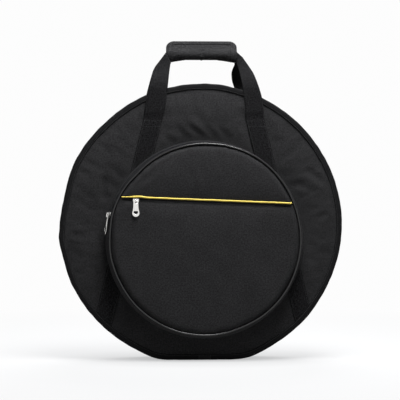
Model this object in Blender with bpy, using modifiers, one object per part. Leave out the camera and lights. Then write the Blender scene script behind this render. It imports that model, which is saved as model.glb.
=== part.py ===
"""Round padded cymbal bag with a zip round the rim, a zipped front pocket and two webbing handles.

Run it with: blender --background --python part.py, or from Blender's text editor.
Lengths are metres and +Z is up. The pocket faces -Y and the bag stands on its rim at z = 0.
Every shape is written in the case frame: x to the right, y = 0 on the middle plane of the case,
z = 0 on the floor. Angles round the case and the pocket are degrees clockwise from the top, seen
from the front.
"""

import math

import bmesh
import bpy
from mathutils import Matrix, Vector

MM = 0.001
GAP = 0.3 * MM  # between two pieces that touch
WELD_DISTANCE = 0.01 * MM  # points closer than this are one point

# Case
RIM_RADIUS = 290 * MM
RIM_FLAT = 13 * MM  # how far the round rim is pressed flat where it stands
CASE_DEPTH = 84 * MM  # over both rim bindings
SEWN_OFFSET = 6 * MM  # straps, pocket and handles sit this far right of the rim's centre
CASE_STEPS = 72
COVER_THICK = 1.8 * MM
FOAM_THICK = 6 * MM
LINING_THICK = 0.8 * MM
PAD_CLEARANCE = 3 * MM  # foam and lining stay this far inside the gusset

# Rim binding, folded round the edge of the cover
BINDING_WIDTH = 12 * MM
BINDING_TAPE = 1 * MM
BINDING_FOLD = 3.7 * MM  # solid outer edge of the fold
JOIN_TAB_WIDTH = 26 * MM
JOIN_TAB_OFFSET = 7.3 * MM
JOIN_TAB_MARGIN = 0.6 * MM
JOIN_TAB_THICK = 0.8 * MM

# Gusset, the padded side wall
GUSSET_INSET = 8 * MM  # from the rim to the outside of the wall
GUSSET_THICK = 3 * MM
GUSSET_BASE_HALF_ANGLE = 30  # the stretch at the bottom without a zip

# Zips: tape, coil and the running slot between the two halves
ZIP_SLOT = 1.4 * MM
TAPE_THICK = 1 * MM
COIL_WIDTH = 2.6 * MM
COIL_RISE = 0.8 * MM
MAIN_ZIP_FORWARD = 13 * MM  # main zip in front of the middle plane
MAIN_TAPE_WIDTH = 10.5 * MM
POCKET_TAPE_WIDTH = 9 * MM
FACE_TAPE_WIDTH = 12 * MM
END_TAB_LENGTH = 20 * MM
END_TAB_THICK = 1 * MM

# Sliders and pullers
SLIDER_LENGTH = 12 * MM
SLIDER_WIDTH = 11 * MM
POCKET_SLIDER_WIDTH = 7.4 * MM
FACE_SLIDER_WIDTH = 6.4 * MM
SLIDER_WEB = 0.8 * MM
SLIDER_PLATE = 1.6 * MM
SLIDER_CLEARANCE = 0.5 * MM
POCKET_SLIDER_CLEARANCE = 1.8 * MM  # the flap's tape rises under the slider as it folds
SLIDER_CLEARANCE_INSIDE = 0.9 * MM  # the wall's inner face is hollow towards the flat plate
BAIL_WIDTH = 1.8 * MM
BAIL_BAR = 1.4 * MM
BAIL_FOOT = 1.2 * MM
BAIL_LENGTH = 8 * MM
FACE_BAIL_LENGTH = 6.2 * MM
BAIL_OPENING = 2.4 * MM
MAIN_BAIL_OPENING = 4.2 * MM
BAIL_SINK = 0.4 * MM
PIVOT_RISE = 1.2 * MM  # puller pivot above the slider's plate
PULLER_LENGTH = 36 * MM
PULLER_TOP_WIDTH = 9 * MM
PULLER_END_WIDTH = 11 * MM
PULLER_THICK = 1.2 * MM
PULLER_BAR = 1.4 * MM
PULLER_WINDOW_WIDTH = 3.4 * MM
PULLER_WINDOW_LENGTH = 6 * MM
PULLER_MOON_RADIUS = 3.4 * MM
PULLER_ARC_STEPS = 9
MAIN_SLIDER_LEFT_ANGLE = -4.1
MAIN_SLIDER_RIGHT_ANGLE = -1.0
POCKET_SLIDER_ANGLE = -75.4
POCKET_PULLER_LEAN = 3  # degrees from the wall's tangent towards the wall
FACE_SLIDER_FROM_END = 29.5 * MM

# Front pocket, a flaring drum on the front panel
POCKET_DROP = 29 * MM  # from the case's centre down to the pocket's centre
POCKET_DEPTH = 40 * MM
POCKET_FACE_RADIUS = 193.2 * MM
POCKET_BASE_RADIUS = 205 * MM
POCKET_WALL_THICK = 2 * MM
POCKET_TOP_STEPS = 33
POCKET_BOTTOM_STEPS = 39
FACE_THICK = 1.6 * MM
PIPING_RADIUS = 1.6 * MM
PIPING_STEPS = 6
FOLD_RISE = 26 * MM  # the flap folds this far above the pocket's centre
BAND_WIDTH = 5 * MM
END_STOP_WIDTH = 14 * MM
END_STOP_LENGTH = 10 * MM

# Yellow line and the zip under it
LINE_RISE = 81 * MM  # above the pocket's centre
LINE_SLOPE = 2.3  # degrees, down to the right
YELLOW_RADIUS = 2 * MM
YELLOW_STEPS = 8
YELLOW_END_INSET = 2 * MM
FACE_SLOT = 7.4 * MM
BAG_HALF_WIDTH = 140 * MM
BAG_DROP = 45 * MM
BAG_HEADER = 3.5 * MM
BAG_SHEET = 0.8 * MM
BAG_CLEARANCE = 0.6 * MM

# Webbing
WEBBING_WIDTH = 38 * MM
WEBBING_THICK = 1.6 * MM
STRAP_TOP_DROP = 71 * MM  # from the top of the rim down to where the handle comes free
STRAP_TOP_HALF_SPAN = 104.4 * MM
STRAP_SPLAY = 13.8  # degrees from vertical, wider towards the floor
HANDLE_STEPS = 4

# Handle, seen from the front: its outer and its inner edge between the sewn strap and the grip.
# Each pair is a share of the way out from the grip's end to the strap's edge, and a share of the
# way up from the strap to the webbing's height in the grip.
HANDLE_OUTER_SHARES = [
    (1, 0),
    (0.95, 0.11),
    (0.89, 0.31),
    (0.82, 0.44),
    (0.66, 0.7),
    (0.26, 0.93),
    (0.02, 0.993),
]
HANDLE_INNER_SHARES = [
    (1, 0),
    (0.9, 0.13),
    (0.62, 0.36),
    (0.48, 0.51),
    (0.35, 0.78),
    (0.28, 0.92),
    (0.09, 0.999),
]
HANDLE_LOW_RISE = 16 * MM  # over the foot of the handle it steps out to pass the rim
HANDLE_LEAN_DROP = 9 * MM  # below the top of the rim it starts to lean back
HANDLE_CLEARANCE = 0.8 * MM  # between the handle and the rim binding

# Grip: two padded leaves that close on each other over the handles
GRIP_LENGTH = 145 * MM
GRIP_HEIGHT = 44 * MM
GRIP_RISE = 45 * MM  # from the top of the rim to the underside of the grip
GRIP_LEAF_REACH = 9.5 * MM  # outer face of a leaf from the middle plane
GRIP_STRAP_Y = 4.5 * MM
GRIP_STRAP_RISE = 4 * MM  # lower edge of the webbing above the underside of the grip
GRIP_STRAP_WIDTH = 20 * MM  # the webbing is folded in half inside the grip
GRIP_STRAP_INSET = 12.5 * MM  # the webbing lies level this far inside the grip's ends
GRIP_SLOT_CLEARANCE = 0.5 * MM
GRIP_BINDING_SIDE = 11 * MM
GRIP_BINDING_TOP = 6.5 * MM
GRIP_BINDING_THICK = 1.2 * MM
GRIP_CORNER = 9 * MM
CLOSURE_THICK = 0.9 * MM
CLOSURE_MARGIN = 6 * MM
CORNER_STEPS = 4
CUT_OVERRUN = 5 * MM

# Places that follow from the sizes above
CASE_CENTRE = Vector((0, 0, RIM_RADIUS - RIM_FLAT))
RIM_TOP_Z = CASE_CENTRE.z + RIM_RADIUS
HALF_DEPTH = CASE_DEPTH / 2
COVER_RADIUS = RIM_RADIUS - BINDING_FOLD - GAP
BINDING_THICK = 2 * BINDING_TAPE + COVER_THICK + 2 * GAP
BINDING_INNER_RADIUS = RIM_RADIUS - BINDING_WIDTH
COVER_FACE_Y = HALF_DEPTH - BINDING_TAPE - GAP
FOAM_FACE_Y = COVER_FACE_Y - COVER_THICK - GAP
LINING_FACE_Y = FOAM_FACE_Y - FOAM_THICK - GAP
GUSSET_RADIUS = RIM_RADIUS - GUSSET_INSET
GUSSET_INNER_RADIUS = GUSSET_RADIUS - GUSSET_THICK
PAD_RADIUS = GUSSET_INNER_RADIUS - PAD_CLEARANCE
GUSSET_EDGE_Y = HALF_DEPTH - BINDING_THICK - GAP
MAIN_TAPE_RADIUS = GUSSET_RADIUS - COIL_RISE
MAIN_ZIP_END = 180 - GUSSET_BASE_HALF_ANGLE

STRAP_FACE_Y = COVER_FACE_Y + GAP + WEBBING_THICK
STRAP_TOP_Z = RIM_TOP_Z - STRAP_TOP_DROP
STRAP_LEVEL_HALF_WIDTH = WEBBING_WIDTH / 2 / math.cos(math.radians(STRAP_SPLAY))
POCKET_CENTRE = Vector((SEWN_OFFSET, 0, CASE_CENTRE.z - POCKET_DROP))
POCKET_FACE_Y = -(COVER_FACE_Y + POCKET_DEPTH)
POCKET_BASE_Y = -(STRAP_FACE_Y + GAP)
PIPING_RING_RADIUS = POCKET_FACE_RADIUS + GAP + PIPING_RADIUS
POCKET_WALL_Y = POCKET_FACE_Y + 2 * PIPING_RADIUS + GAP
POCKET_FRONT_TAPE_Y = POCKET_WALL_Y + BAND_WIDTH + GAP
POCKET_ZIP_Y = POCKET_FRONT_TAPE_Y + POCKET_TAPE_WIDTH + ZIP_SLOT / 2
POCKET_REAR_TAPE_Y = POCKET_ZIP_Y + ZIP_SLOT / 2 + POCKET_TAPE_WIDTH
FOLD_Z = POCKET_CENTRE.z + FOLD_RISE
FOLD_ANGLE = math.degrees(math.acos(FOLD_RISE / POCKET_FACE_RADIUS))

FACE_TAPE_Y = POCKET_FACE_Y + FACE_THICK + GAP
LINE_DIRECTION = Vector((math.cos(math.radians(LINE_SLOPE)), 0, -math.sin(math.radians(LINE_SLOPE))))
LINE_UP = Vector((math.sin(math.radians(LINE_SLOPE)), 0, math.cos(math.radians(LINE_SLOPE))))
LINE_MIDDLE = POCKET_CENTRE + LINE_RISE * LINE_UP
LINE_HALF_LENGTH = math.sqrt((POCKET_FACE_RADIUS - YELLOW_END_INSET) ** 2 - LINE_RISE**2)
FACE_ZIP_DROP = YELLOW_RADIUS + FACE_SLOT / 2  # from the yellow line down to the zip's slot

HANDLE_PLANE_Y = HALF_DEPTH + HANDLE_CLEARANCE + WEBBING_THICK / 2
GRIP_BOTTOM_Z = RIM_TOP_Z + GRIP_RISE
GRIP_TOP_Z = GRIP_BOTTOM_Z + GRIP_HEIGHT
GRIP_STRAP_LOW_Z = GRIP_BOTTOM_Z + GRIP_STRAP_RISE
GRIP_STRAP_HIGH_Z = GRIP_STRAP_LOW_Z + GRIP_STRAP_WIDTH

SLIDER_TOP = COIL_RISE + SLIDER_CLEARANCE + SLIDER_PLATE
POCKET_SLIDER_TOP = COIL_RISE + POCKET_SLIDER_CLEARANCE + SLIDER_PLATE
FRONT_REACH = -FACE_TAPE_Y + SLIDER_TOP + BAIL_OPENING + BAIL_BAR
REAR_REACH = HANDLE_PLANE_Y + WEBBING_THICK / 2
MIDDLE_PLANE_Y = (FRONT_REACH - REAR_REACH) / 2  # centres the bag's box on y = 0

COLOURS = {
    "shell_fabric": ((0.013, 0.013, 0.014), 0.85, 0.0),
    "foam": ((0.16, 0.16, 0.17), 0.95, 0.0),
    "lining": ((0.02, 0.02, 0.022), 0.8, 0.0),
    "binding_tape": ((0.008, 0.008, 0.009), 0.7, 0.0),
    "webbing": ((0.009, 0.009, 0.01), 0.7, 0.0),
    "zip_tape": ((0.008, 0.008, 0.008), 0.6, 0.0),
    "black_piping": ((0.006, 0.006, 0.006), 0.3, 0.0),
    "yellow_piping": ((0.78, 0.62, 0.07), 0.45, 0.0),
    "hook_and_loop": ((0.012, 0.012, 0.012), 0.95, 0.0),
    "nickel": ((0.62, 0.61, 0.58), 0.22, 1.0),
}

pivots = {}
frames = {}


def collection(name):
    made = bpy.data.collections.new(name)
    bpy.context.scene.collection.children.link(made)
    return made


def body(name, parent, pivot):
    """Empty on a moving body's joint axis; every piece of the body hangs from it."""
    empty = bpy.data.objects.new(name + "_frame", None)
    empty.empty_display_size = BINDING_WIDTH
    bpy.data.collections["cymbal_bag"].objects.link(empty)
    pivots[name] = Vector(pivot)
    if parent:
        empty.parent = frames[parent]
        empty.location = pivots[name] - pivots[parent]
    else:
        empty.location = Vector((0, MIDDLE_PLANE_Y, 0)) + pivots[name]
    frames[name] = empty


def add(name, mesh, on, colour=None, into="cymbal_bag"):
    """Make an object from a mesh in the case frame and hang it from its body's empty."""
    mesh.name = name
    mesh.transform(Matrix.Translation(-pivots[on]))
    piece = bpy.data.objects.new(name, mesh)
    bpy.data.collections[into].objects.link(piece)
    piece.parent = frames[on]
    if colour:
        finish, roughness, metallic = COLOURS[colour]
        material = bpy.data.materials.new(name + "_" + colour)
        material.use_nodes = True
        shader = material.node_tree.nodes["Principled BSDF"]
        shader.inputs["Base Color"].default_value = (*finish, 1)
        shader.inputs["Roughness"].default_value = roughness
        shader.inputs["Metallic"].default_value = metallic
        mesh.materials.append(material)
    else:
        piece.hide_render = True
        piece.display_type = "WIRE"
    return piece


def round_shaded(mesh):
    mesh.shade_smooth()
    mesh.set_sharp_from_angle(angle=math.radians(35))
    return mesh


def close(bm, mesh):
    """Cap every open end, turn all faces outward and write the result into the mesh."""
    bmesh.ops.holes_fill(bm, edges=[edge for edge in bm.edges if edge.is_boundary])
    bmesh.ops.recalc_face_normals(bm, faces=bm.faces)
    bm.to_mesh(mesh)
    bm.free()
    return round_shaded(mesh)


def turned(section, centre, steps, start=0, end=360):
    """Turn a closed (radius, y) outline about the front to back axis through the centre."""
    angle = math.radians(start)
    profile = bpy.data.meshes.new("profile")
    points = [(radius * math.sin(angle), y, radius * math.cos(angle)) for radius, y in section]
    count = len(points)
    profile.from_pydata(points, [(i, (i + 1) % count) for i in range(count)], [])
    guide = bpy.data.objects.new("profile", profile)
    bpy.context.scene.collection.objects.link(guide)
    screw = guide.modifiers.new("Turn", "SCREW")
    screw.axis = "Y"
    screw.angle = math.radians(end - start)
    screw.steps = steps
    screw.render_steps = steps
    screw.use_merge_vertices = True
    screw.merge_threshold = WELD_DISTANCE
    evaluated = guide.evaluated_get(bpy.context.evaluated_depsgraph_get())
    mesh = bpy.data.meshes.new_from_object(evaluated)
    bpy.data.objects.remove(guide)
    mesh.transform(Matrix.Translation(centre))
    bm = bmesh.new()
    bm.from_mesh(mesh)
    return close(bm, mesh)


def disc(radius, front_y, rear_y, centre, steps):
    bm = bmesh.new()
    bmesh.ops.create_cone(
        bm, cap_ends=True, segments=steps, radius1=radius, radius2=radius, depth=rear_y - front_y
    )
    middle = Vector((centre.x, (front_y + rear_y) / 2, centre.z))
    bm.transform(Matrix.Translation(middle) @ Matrix.Rotation(math.radians(90), 4, "X"))
    return close(bm, bpy.data.meshes.new("disc"))


def box(low, high, frame=None):
    """Box between two corners, in the case frame or in a frame of its own."""
    low, high = Vector(low), Vector(high)
    bm = bmesh.new()
    bmesh.ops.create_cube(bm, size=1)
    bm.transform(Matrix.Translation((low + high) / 2) @ Matrix.Diagonal((*(high - low), 1)))
    if frame:
        bm.transform(frame)
    return close(bm, bpy.data.meshes.new("box"))


def prism(outline, depth, frame):
    """Extrude a closed outline, given in the frame's X and Y, along the frame's Z by the depth."""
    bm = bmesh.new()
    face = bm.faces.new([bm.verts.new((x, y, -depth / 2)) for x, y in outline])
    grown = bmesh.ops.extrude_face_region(bm, geom=[face])
    verts = [item for item in grown["geom"] if isinstance(item, bmesh.types.BMVert)]
    bmesh.ops.translate(bm, vec=(0, 0, depth), verts=verts)
    bm.transform(frame)
    return close(bm, bpy.data.meshes.new("prism"))


def press_flat(mesh):
    """Press the bottom of a rim-sized piece flat; inner layers lie that much above outer ones."""
    for vertex in mesh.vertices:
        radius = math.hypot(vertex.co.x - CASE_CENTRE.x, vertex.co.z - CASE_CENTRE.z)
        vertex.co.z = max(vertex.co.z, RIM_RADIUS - radius)
    return mesh


def clip(mesh, point, keep):
    """Keep the side of a plane that the keep direction points to."""
    bm = bmesh.new()
    bm.from_mesh(mesh)
    geometry = bm.verts[:] + bm.edges[:] + bm.faces[:]
    bmesh.ops.bisect_plane(bm, geom=geometry, plane_co=point, plane_no=keep, clear_inner=True)
    return close(bm, mesh)


def case_ring(section, start=0, end=360):
    steps = max(1, round(CASE_STEPS * (end - start) / 360))
    return press_flat(turned(section, CASE_CENTRE, steps, start, end))


def rectangle(inner, outer, y0, y1):
    return [(inner, y0), (outer, y0), (outer, y1), (inner, y1)]


def angle_gap(radius):
    """Angle that the gap takes up on a circle, in degrees."""
    return math.degrees(GAP / radius)


def panel(side, label, on):
    """Padded round panel: cover, foam and lining. The side is -1 at the front and 1 at the rear."""
    layers = (
        ("cover", COVER_RADIUS, COVER_FACE_Y, COVER_THICK, "shell_fabric"),
        ("foam", PAD_RADIUS, FOAM_FACE_Y, FOAM_THICK, "foam"),
        ("lining", PAD_RADIUS, LINING_FACE_Y, LINING_THICK, "lining"),
    )
    for layer, radius, face_y, thick, colour in layers:
        front_y, rear_y = sorted((side * face_y, side * (face_y - thick)))
        mesh = press_flat(disc(radius, front_y, rear_y, CASE_CENTRE, CASE_STEPS))
        add(label + "_panel_" + layer, mesh, on, colour)


def rim_binding(side, label, on):
    outer_y = side * HALF_DEPTH
    inner_y = side * (HALF_DEPTH - BINDING_THICK)
    tape_y = side * BINDING_TAPE
    fold_radius = RIM_RADIUS - BINDING_FOLD
    section = [
        (BINDING_INNER_RADIUS, outer_y),
        (RIM_RADIUS, outer_y),
        (RIM_RADIUS, inner_y),
        (BINDING_INNER_RADIUS, inner_y),
        (BINDING_INNER_RADIUS, inner_y + tape_y),
        (fold_radius, inner_y + tape_y),
        (fold_radius, outer_y - tape_y),
        (BINDING_INNER_RADIUS, outer_y - tape_y),
    ]
    add(label + "_rim_binding", case_ring(section), on, "binding_tape")


def binding_join():
    left_x = JOIN_TAB_OFFSET - JOIN_TAB_WIDTH / 2
    low = (left_x, -HALF_DEPTH - GAP - JOIN_TAB_THICK, JOIN_TAB_MARGIN)
    high = (left_x + JOIN_TAB_WIDTH, -HALF_DEPTH - GAP, BINDING_WIDTH - JOIN_TAB_MARGIN)
    add("binding_join_tab", box(low, high), "lid", "binding_tape")


def tape_section(radius_at, slot_y, edge_y):
    """Half a zip: flat tape whose coil stands on its outer face along the slot."""
    coil_y = slot_y + math.copysign(COIL_WIDTH, edge_y - slot_y)
    return [
        (radius_at(slot_y) - TAPE_THICK, slot_y),
        (radius_at(slot_y) + COIL_RISE, slot_y),
        (radius_at(coil_y) + COIL_RISE, coil_y),
        (radius_at(coil_y), coil_y),
        (radius_at(edge_y), edge_y),
        (radius_at(edge_y) - TAPE_THICK, edge_y),
    ]


def side_wall():
    """Gusset, main zip and the zip's end tabs."""
    slot_front_y = -MAIN_ZIP_FORWARD - ZIP_SLOT / 2
    slot_rear_y = -MAIN_ZIP_FORWARD + ZIP_SLOT / 2
    tape_front_y = slot_front_y - MAIN_TAPE_WIDTH
    tape_rear_y = slot_rear_y + MAIN_TAPE_WIDTH
    end = MAIN_ZIP_END - angle_gap(GUSSET_RADIUS) / 2

    def tape_radius(y):
        return MAIN_TAPE_RADIUS

    skirt = rectangle(GUSSET_INNER_RADIUS, GUSSET_RADIUS, -GUSSET_EDGE_Y, tape_front_y - GAP)
    add("lid_skirt", case_ring(skirt, -end, end), "lid", "shell_fabric")
    wall = rectangle(GUSSET_INNER_RADIUS, GUSSET_RADIUS, tape_rear_y + GAP, GUSSET_EDGE_Y)
    add("gusset_wall", case_ring(wall, -end, end), "case", "shell_fabric")
    front_tape = tape_section(tape_radius, slot_front_y, tape_front_y)
    add("main_zip_front_tape", case_ring(front_tape, -end, end), "lid", "zip_tape")
    rear_tape = tape_section(tape_radius, slot_rear_y, tape_rear_y)
    add("main_zip_rear_tape", case_ring(rear_tape, -end, end), "case", "zip_tape")

    base = rectangle(GUSSET_INNER_RADIUS, GUSSET_RADIUS, -GUSSET_EDGE_Y, GUSSET_EDGE_Y)
    base_end = MAIN_ZIP_END + angle_gap(GUSSET_RADIUS) / 2
    add("gusset_base", case_ring(base, base_end, 360 - base_end), "case", "shell_fabric")

    tab_inner = GUSSET_RADIUS + GAP
    tab_span = math.degrees(END_TAB_LENGTH / GUSSET_RADIUS)
    tab = rectangle(tab_inner, tab_inner + END_TAB_THICK, tape_front_y, tape_rear_y)
    add("main_zip_end_tab_right", case_ring(tab, base_end, base_end + tab_span), "case", "webbing")
    add("main_zip_end_tab_left", case_ring(tab, -base_end - tab_span, -base_end), "case", "webbing")


def strap_end(edge_x, edge_z, slope, radius):
    """Where a strap's edge, running down and outward, meets the inside of the rim binding."""
    x, z = edge_x, edge_z - CASE_CENTRE.z
    along = Vector((math.sin(slope), -math.cos(slope)))
    half = x * along.x + z * along.y
    run = -half + math.sqrt(half**2 - (x**2 + z**2 - radius**2))
    return x + run * along.x, edge_z + run * along.y


def sewn_strap(side, hand, label, on):
    """Webbing sewn flat on a panel, from the handle down to the rim. The hand is -1 or 1."""
    slope = hand * math.radians(STRAP_SPLAY)
    middle_x = SEWN_OFFSET + hand * STRAP_TOP_HALF_SPAN
    radius = BINDING_INNER_RADIUS - GAP
    tops = [(middle_x + way * STRAP_LEVEL_HALF_WIDTH, STRAP_TOP_Z) for way in (-1, 1)]
    ends = [strap_end(x, z, slope, radius) for x, z in tops]
    outline = [tops[0], tops[1], ends[1], ends[0]]
    middle_y = side * (STRAP_FACE_Y - WEBBING_THICK / 2)
    facing = Matrix.Translation((0, middle_y, 0)) @ Matrix.Rotation(math.radians(90), 4, "X")
    add(label, prism(outline, WEBBING_THICK, facing), on, "webbing")


def pocket_radius(y):
    """Outer radius of the flaring pocket wall."""
    share = (y - POCKET_WALL_Y) / (POCKET_BASE_Y - POCKET_WALL_Y)
    return PIPING_RING_RADIUS + (POCKET_BASE_RADIUS - PIPING_RING_RADIUS) * share


def pocket_tape_radius(y):
    return pocket_radius(y) - (POCKET_WALL_THICK - TAPE_THICK) / 2


def pocket_wall_section(front_y, rear_y):
    return [
        (pocket_radius(front_y) - POCKET_WALL_THICK, front_y),
        (pocket_radius(front_y), front_y),
        (pocket_radius(rear_y), rear_y),
        (pocket_radius(rear_y) - POCKET_WALL_THICK, rear_y),
    ]


def piping_section():
    middle_y = POCKET_FACE_Y + PIPING_RADIUS
    corners = [math.radians(360 * (i + 0.5) / PIPING_STEPS) for i in range(PIPING_STEPS)]
    around = [(PIPING_RADIUS * math.cos(a), PIPING_RADIUS * math.sin(a)) for a in corners]
    return [(PIPING_RING_RADIUS + out, middle_y + back) for out, back in around]


def pocket_arc(section, top):
    """Upper or lower arc of the pocket, meeting the other at the fold."""
    half_gap = angle_gap(POCKET_FACE_RADIUS) / 2
    if top:
        limit = FOLD_ANGLE - half_gap
        return turned(section, POCKET_CENTRE, POCKET_TOP_STEPS, -limit, limit)
    limit = FOLD_ANGLE + half_gap
    return turned(section, POCKET_CENTRE, POCKET_BOTTOM_STEPS, limit, 360 - limit)


def face_disc():
    rear_y = POCKET_FACE_Y + FACE_THICK
    steps = POCKET_TOP_STEPS + POCKET_BOTTOM_STEPS
    return disc(POCKET_FACE_RADIUS, POCKET_FACE_Y, rear_y, POCKET_CENTRE, steps)


def pocket_on_lid():
    face = clip(face_disc(), (0, 0, FOLD_Z - GAP / 2), (0, 0, -1))
    add("pocket_face_lower", face, "lid", "shell_fabric")
    add("pocket_piping_lower", pocket_arc(piping_section(), False), "lid", "black_piping")
    lower = pocket_wall_section(POCKET_WALL_Y, POCKET_BASE_Y)
    add("pocket_wall_lower", pocket_arc(lower, False), "lid", "shell_fabric")
    upper = pocket_wall_section(POCKET_REAR_TAPE_Y + GAP, POCKET_BASE_Y)
    add("pocket_wall_upper", pocket_arc(upper, True), "lid", "shell_fabric")
    rear_tape = tape_section(pocket_tape_radius, POCKET_ZIP_Y + ZIP_SLOT / 2, POCKET_REAR_TAPE_Y)
    add("pocket_zip_rear_tape", pocket_arc(rear_tape, True), "lid", "zip_tape")

    stop_front_y = POCKET_ZIP_Y - END_STOP_WIDTH / 2
    stop_rear_y = POCKET_ZIP_Y + END_STOP_WIDTH / 2
    section = [
        (pocket_radius(stop_front_y) + GAP, stop_front_y),
        (pocket_radius(stop_front_y) + GAP + END_TAB_THICK, stop_front_y),
        (pocket_radius(stop_rear_y) + GAP + END_TAB_THICK, stop_rear_y),
        (pocket_radius(stop_rear_y) + GAP, stop_rear_y),
    ]
    start = FOLD_ANGLE + angle_gap(POCKET_BASE_RADIUS)
    end = start + math.degrees(END_STOP_LENGTH / POCKET_BASE_RADIUS)
    add("pocket_zip_end_tab_right", turned(section, POCKET_CENTRE, 2, start, end), "lid", "webbing")
    add("pocket_zip_end_tab_left", turned(section, POCKET_CENTRE, 2, -end, -start), "lid", "webbing")


def line_frame(y):
    """Frame on the yellow line: X along it, Y up, Z towards the front."""
    forward = Vector((0, -1, 0))
    columns = Matrix((LINE_DIRECTION, LINE_UP, forward)).transposed().to_4x4()
    return Matrix.Translation(LINE_MIDDLE + Vector((0, y, 0))) @ columns


def pocket_flap():
    above = LINE_MIDDLE + LINE_UP * (YELLOW_RADIUS + GAP)
    below = LINE_MIDDLE - LINE_UP * (YELLOW_RADIUS + FACE_SLOT)
    top = clip(face_disc(), above, LINE_UP)
    add("flap_face_upper", top, "pocket_flap", "shell_fabric")
    low = clip(face_disc(), below, -LINE_UP)
    low = clip(low, (0, 0, FOLD_Z + GAP / 2), (0, 0, 1))
    add("flap_face_lower", low, "pocket_flap", "shell_fabric")
    add("pocket_piping_upper", pocket_arc(piping_section(), True), "pocket_flap", "black_piping")
    band = pocket_wall_section(POCKET_WALL_Y, POCKET_WALL_Y + BAND_WIDTH)
    add("flap_side_band", pocket_arc(band, True), "pocket_flap", "shell_fabric")
    front_tape = tape_section(pocket_tape_radius, POCKET_ZIP_Y - ZIP_SLOT / 2, POCKET_FRONT_TAPE_Y)
    add("pocket_zip_front_tape", pocket_arc(front_tape, True), "pocket_flap", "zip_tape")


def yellow_line():
    """Yellow piping, the zip below it and the flat bag behind that zip."""
    bm = bmesh.new()
    bmesh.ops.create_cone(
        bm,
        cap_ends=True,
        segments=YELLOW_STEPS,
        radius1=YELLOW_RADIUS,
        radius2=YELLOW_RADIUS,
        depth=2 * LINE_HALF_LENGTH,
    )
    frame = line_frame(FACE_TAPE_Y - GAP - YELLOW_RADIUS)
    bm.transform(frame @ Matrix.Rotation(math.radians(90), 4, "Y"))
    add("yellow_piping", close(bm, bpy.data.meshes.new("cord")), "pocket_flap", "yellow_piping")

    tape_half = LINE_HALF_LENGTH - YELLOW_END_INSET
    along = line_frame(FACE_TAPE_Y) @ Matrix.Rotation(math.radians(90), 4, "Y")
    for label, way in (("upper", 1), ("lower", -1)):
        slot = -FACE_ZIP_DROP + way * ZIP_SLOT / 2
        coil = slot + way * COIL_WIDTH
        edge = slot + way * FACE_TAPE_WIDTH
        section = [
            (TAPE_THICK, slot),
            (-COIL_RISE, slot),
            (-COIL_RISE, coil),
            (0, coil),
            (0, edge),
            (TAPE_THICK, edge),
        ]
        name = "face_zip_" + label + "_tape"
        add(name, prism(section, 2 * tape_half, along), "pocket_flap", "zip_tape")

    header_top = -FACE_ZIP_DROP + ZIP_SLOT / 2 + FACE_TAPE_WIDTH
    header_front = TAPE_THICK + GAP
    sheet_front = TAPE_THICK + SLIDER_CLEARANCE_INSIDE + SLIDER_PLATE + BAG_CLEARANCE
    section = [
        (header_front, header_top),
        (sheet_front + BAG_SHEET, header_top),
        (sheet_front + BAG_SHEET, -BAG_DROP),
        (sheet_front, -BAG_DROP),
        (sheet_front, header_top - BAG_HEADER),
        (header_front, header_top - BAG_HEADER),
    ]
    add("flap_inner_bag", prism(section, 2 * BAG_HALF_WIDTH, along), "pocket_flap", "lining")


def zip_frame(centre, radius, y, angle, lean):
    """Frame on a round zip: X along its travel, Y across it, Z away from the wall."""
    a = math.radians(angle)
    b = math.radians(lean)
    travel = Vector((math.cos(a), 0, -math.sin(a)))
    outward = Vector((math.sin(a), 0, math.cos(a)))
    across = Vector((0, 1, 0))
    normal = outward * math.cos(b) - across * math.sin(b)
    side = across * math.cos(b) + outward * math.sin(b)
    columns = Matrix((travel, side, normal)).transposed().to_4x4()
    return Matrix.Translation(centre + outward * radius + Vector((0, y, 0))) @ columns


def slider(name, frame, on, width, top, bail_length, bail_opening, bail_turn):
    """Slider: an I section that grips both tapes from outside and inside, with a bail on top."""
    half = width / 2
    web = SLIDER_WEB / 2
    low_top = -TAPE_THICK - SLIDER_CLEARANCE_INSIDE
    low_bottom = low_top - SLIDER_PLATE
    high_bottom = top - SLIDER_PLATE
    section = [
        (-half, low_bottom),
        (half, low_bottom),
        (half, low_top),
        (web, low_top),
        (web, high_bottom),
        (half, high_bottom),
        (half, top),
        (-half, top),
        (-half, high_bottom),
        (-web, high_bottom),
        (-web, low_top),
        (-half, low_top),
    ]
    # The section's X and Y lie across the zip and away from the wall, its Z along the travel.
    sweep = Matrix(((0, 0, 1), (1, 0, 0), (0, 1, 0))).to_4x4()
    piece = add(name, prism(section, SLIDER_LENGTH, frame @ sweep), on, "nickel")

    reach = bail_length / 2
    foot = reach - BAIL_FOOT
    sill = top - BAIL_SINK
    bar = top + bail_opening
    arch = [
        (-reach, sill),
        (-foot, sill),
        (-foot, bar),
        (foot, bar),
        (foot, sill),
        (reach, sill),
        (reach, bar + BAIL_BAR),
        (-reach, bar + BAIL_BAR),
    ]
    # The arch stands in the plane of travel, or across it when it is turned.
    stand = Matrix.Rotation(math.radians(bail_turn), 4, "Z") @ Matrix.Rotation(math.radians(90), 4, "X")
    bail = add(name + "_bail", prism(arch, BAIL_WIDTH, frame @ stand), on, None, "cutters")
    weld = piece.modifiers.new("Bail", "BOOLEAN")
    weld.operation = "UNION"
    weld.solver = "EXACT"
    weld.object = bail


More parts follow.
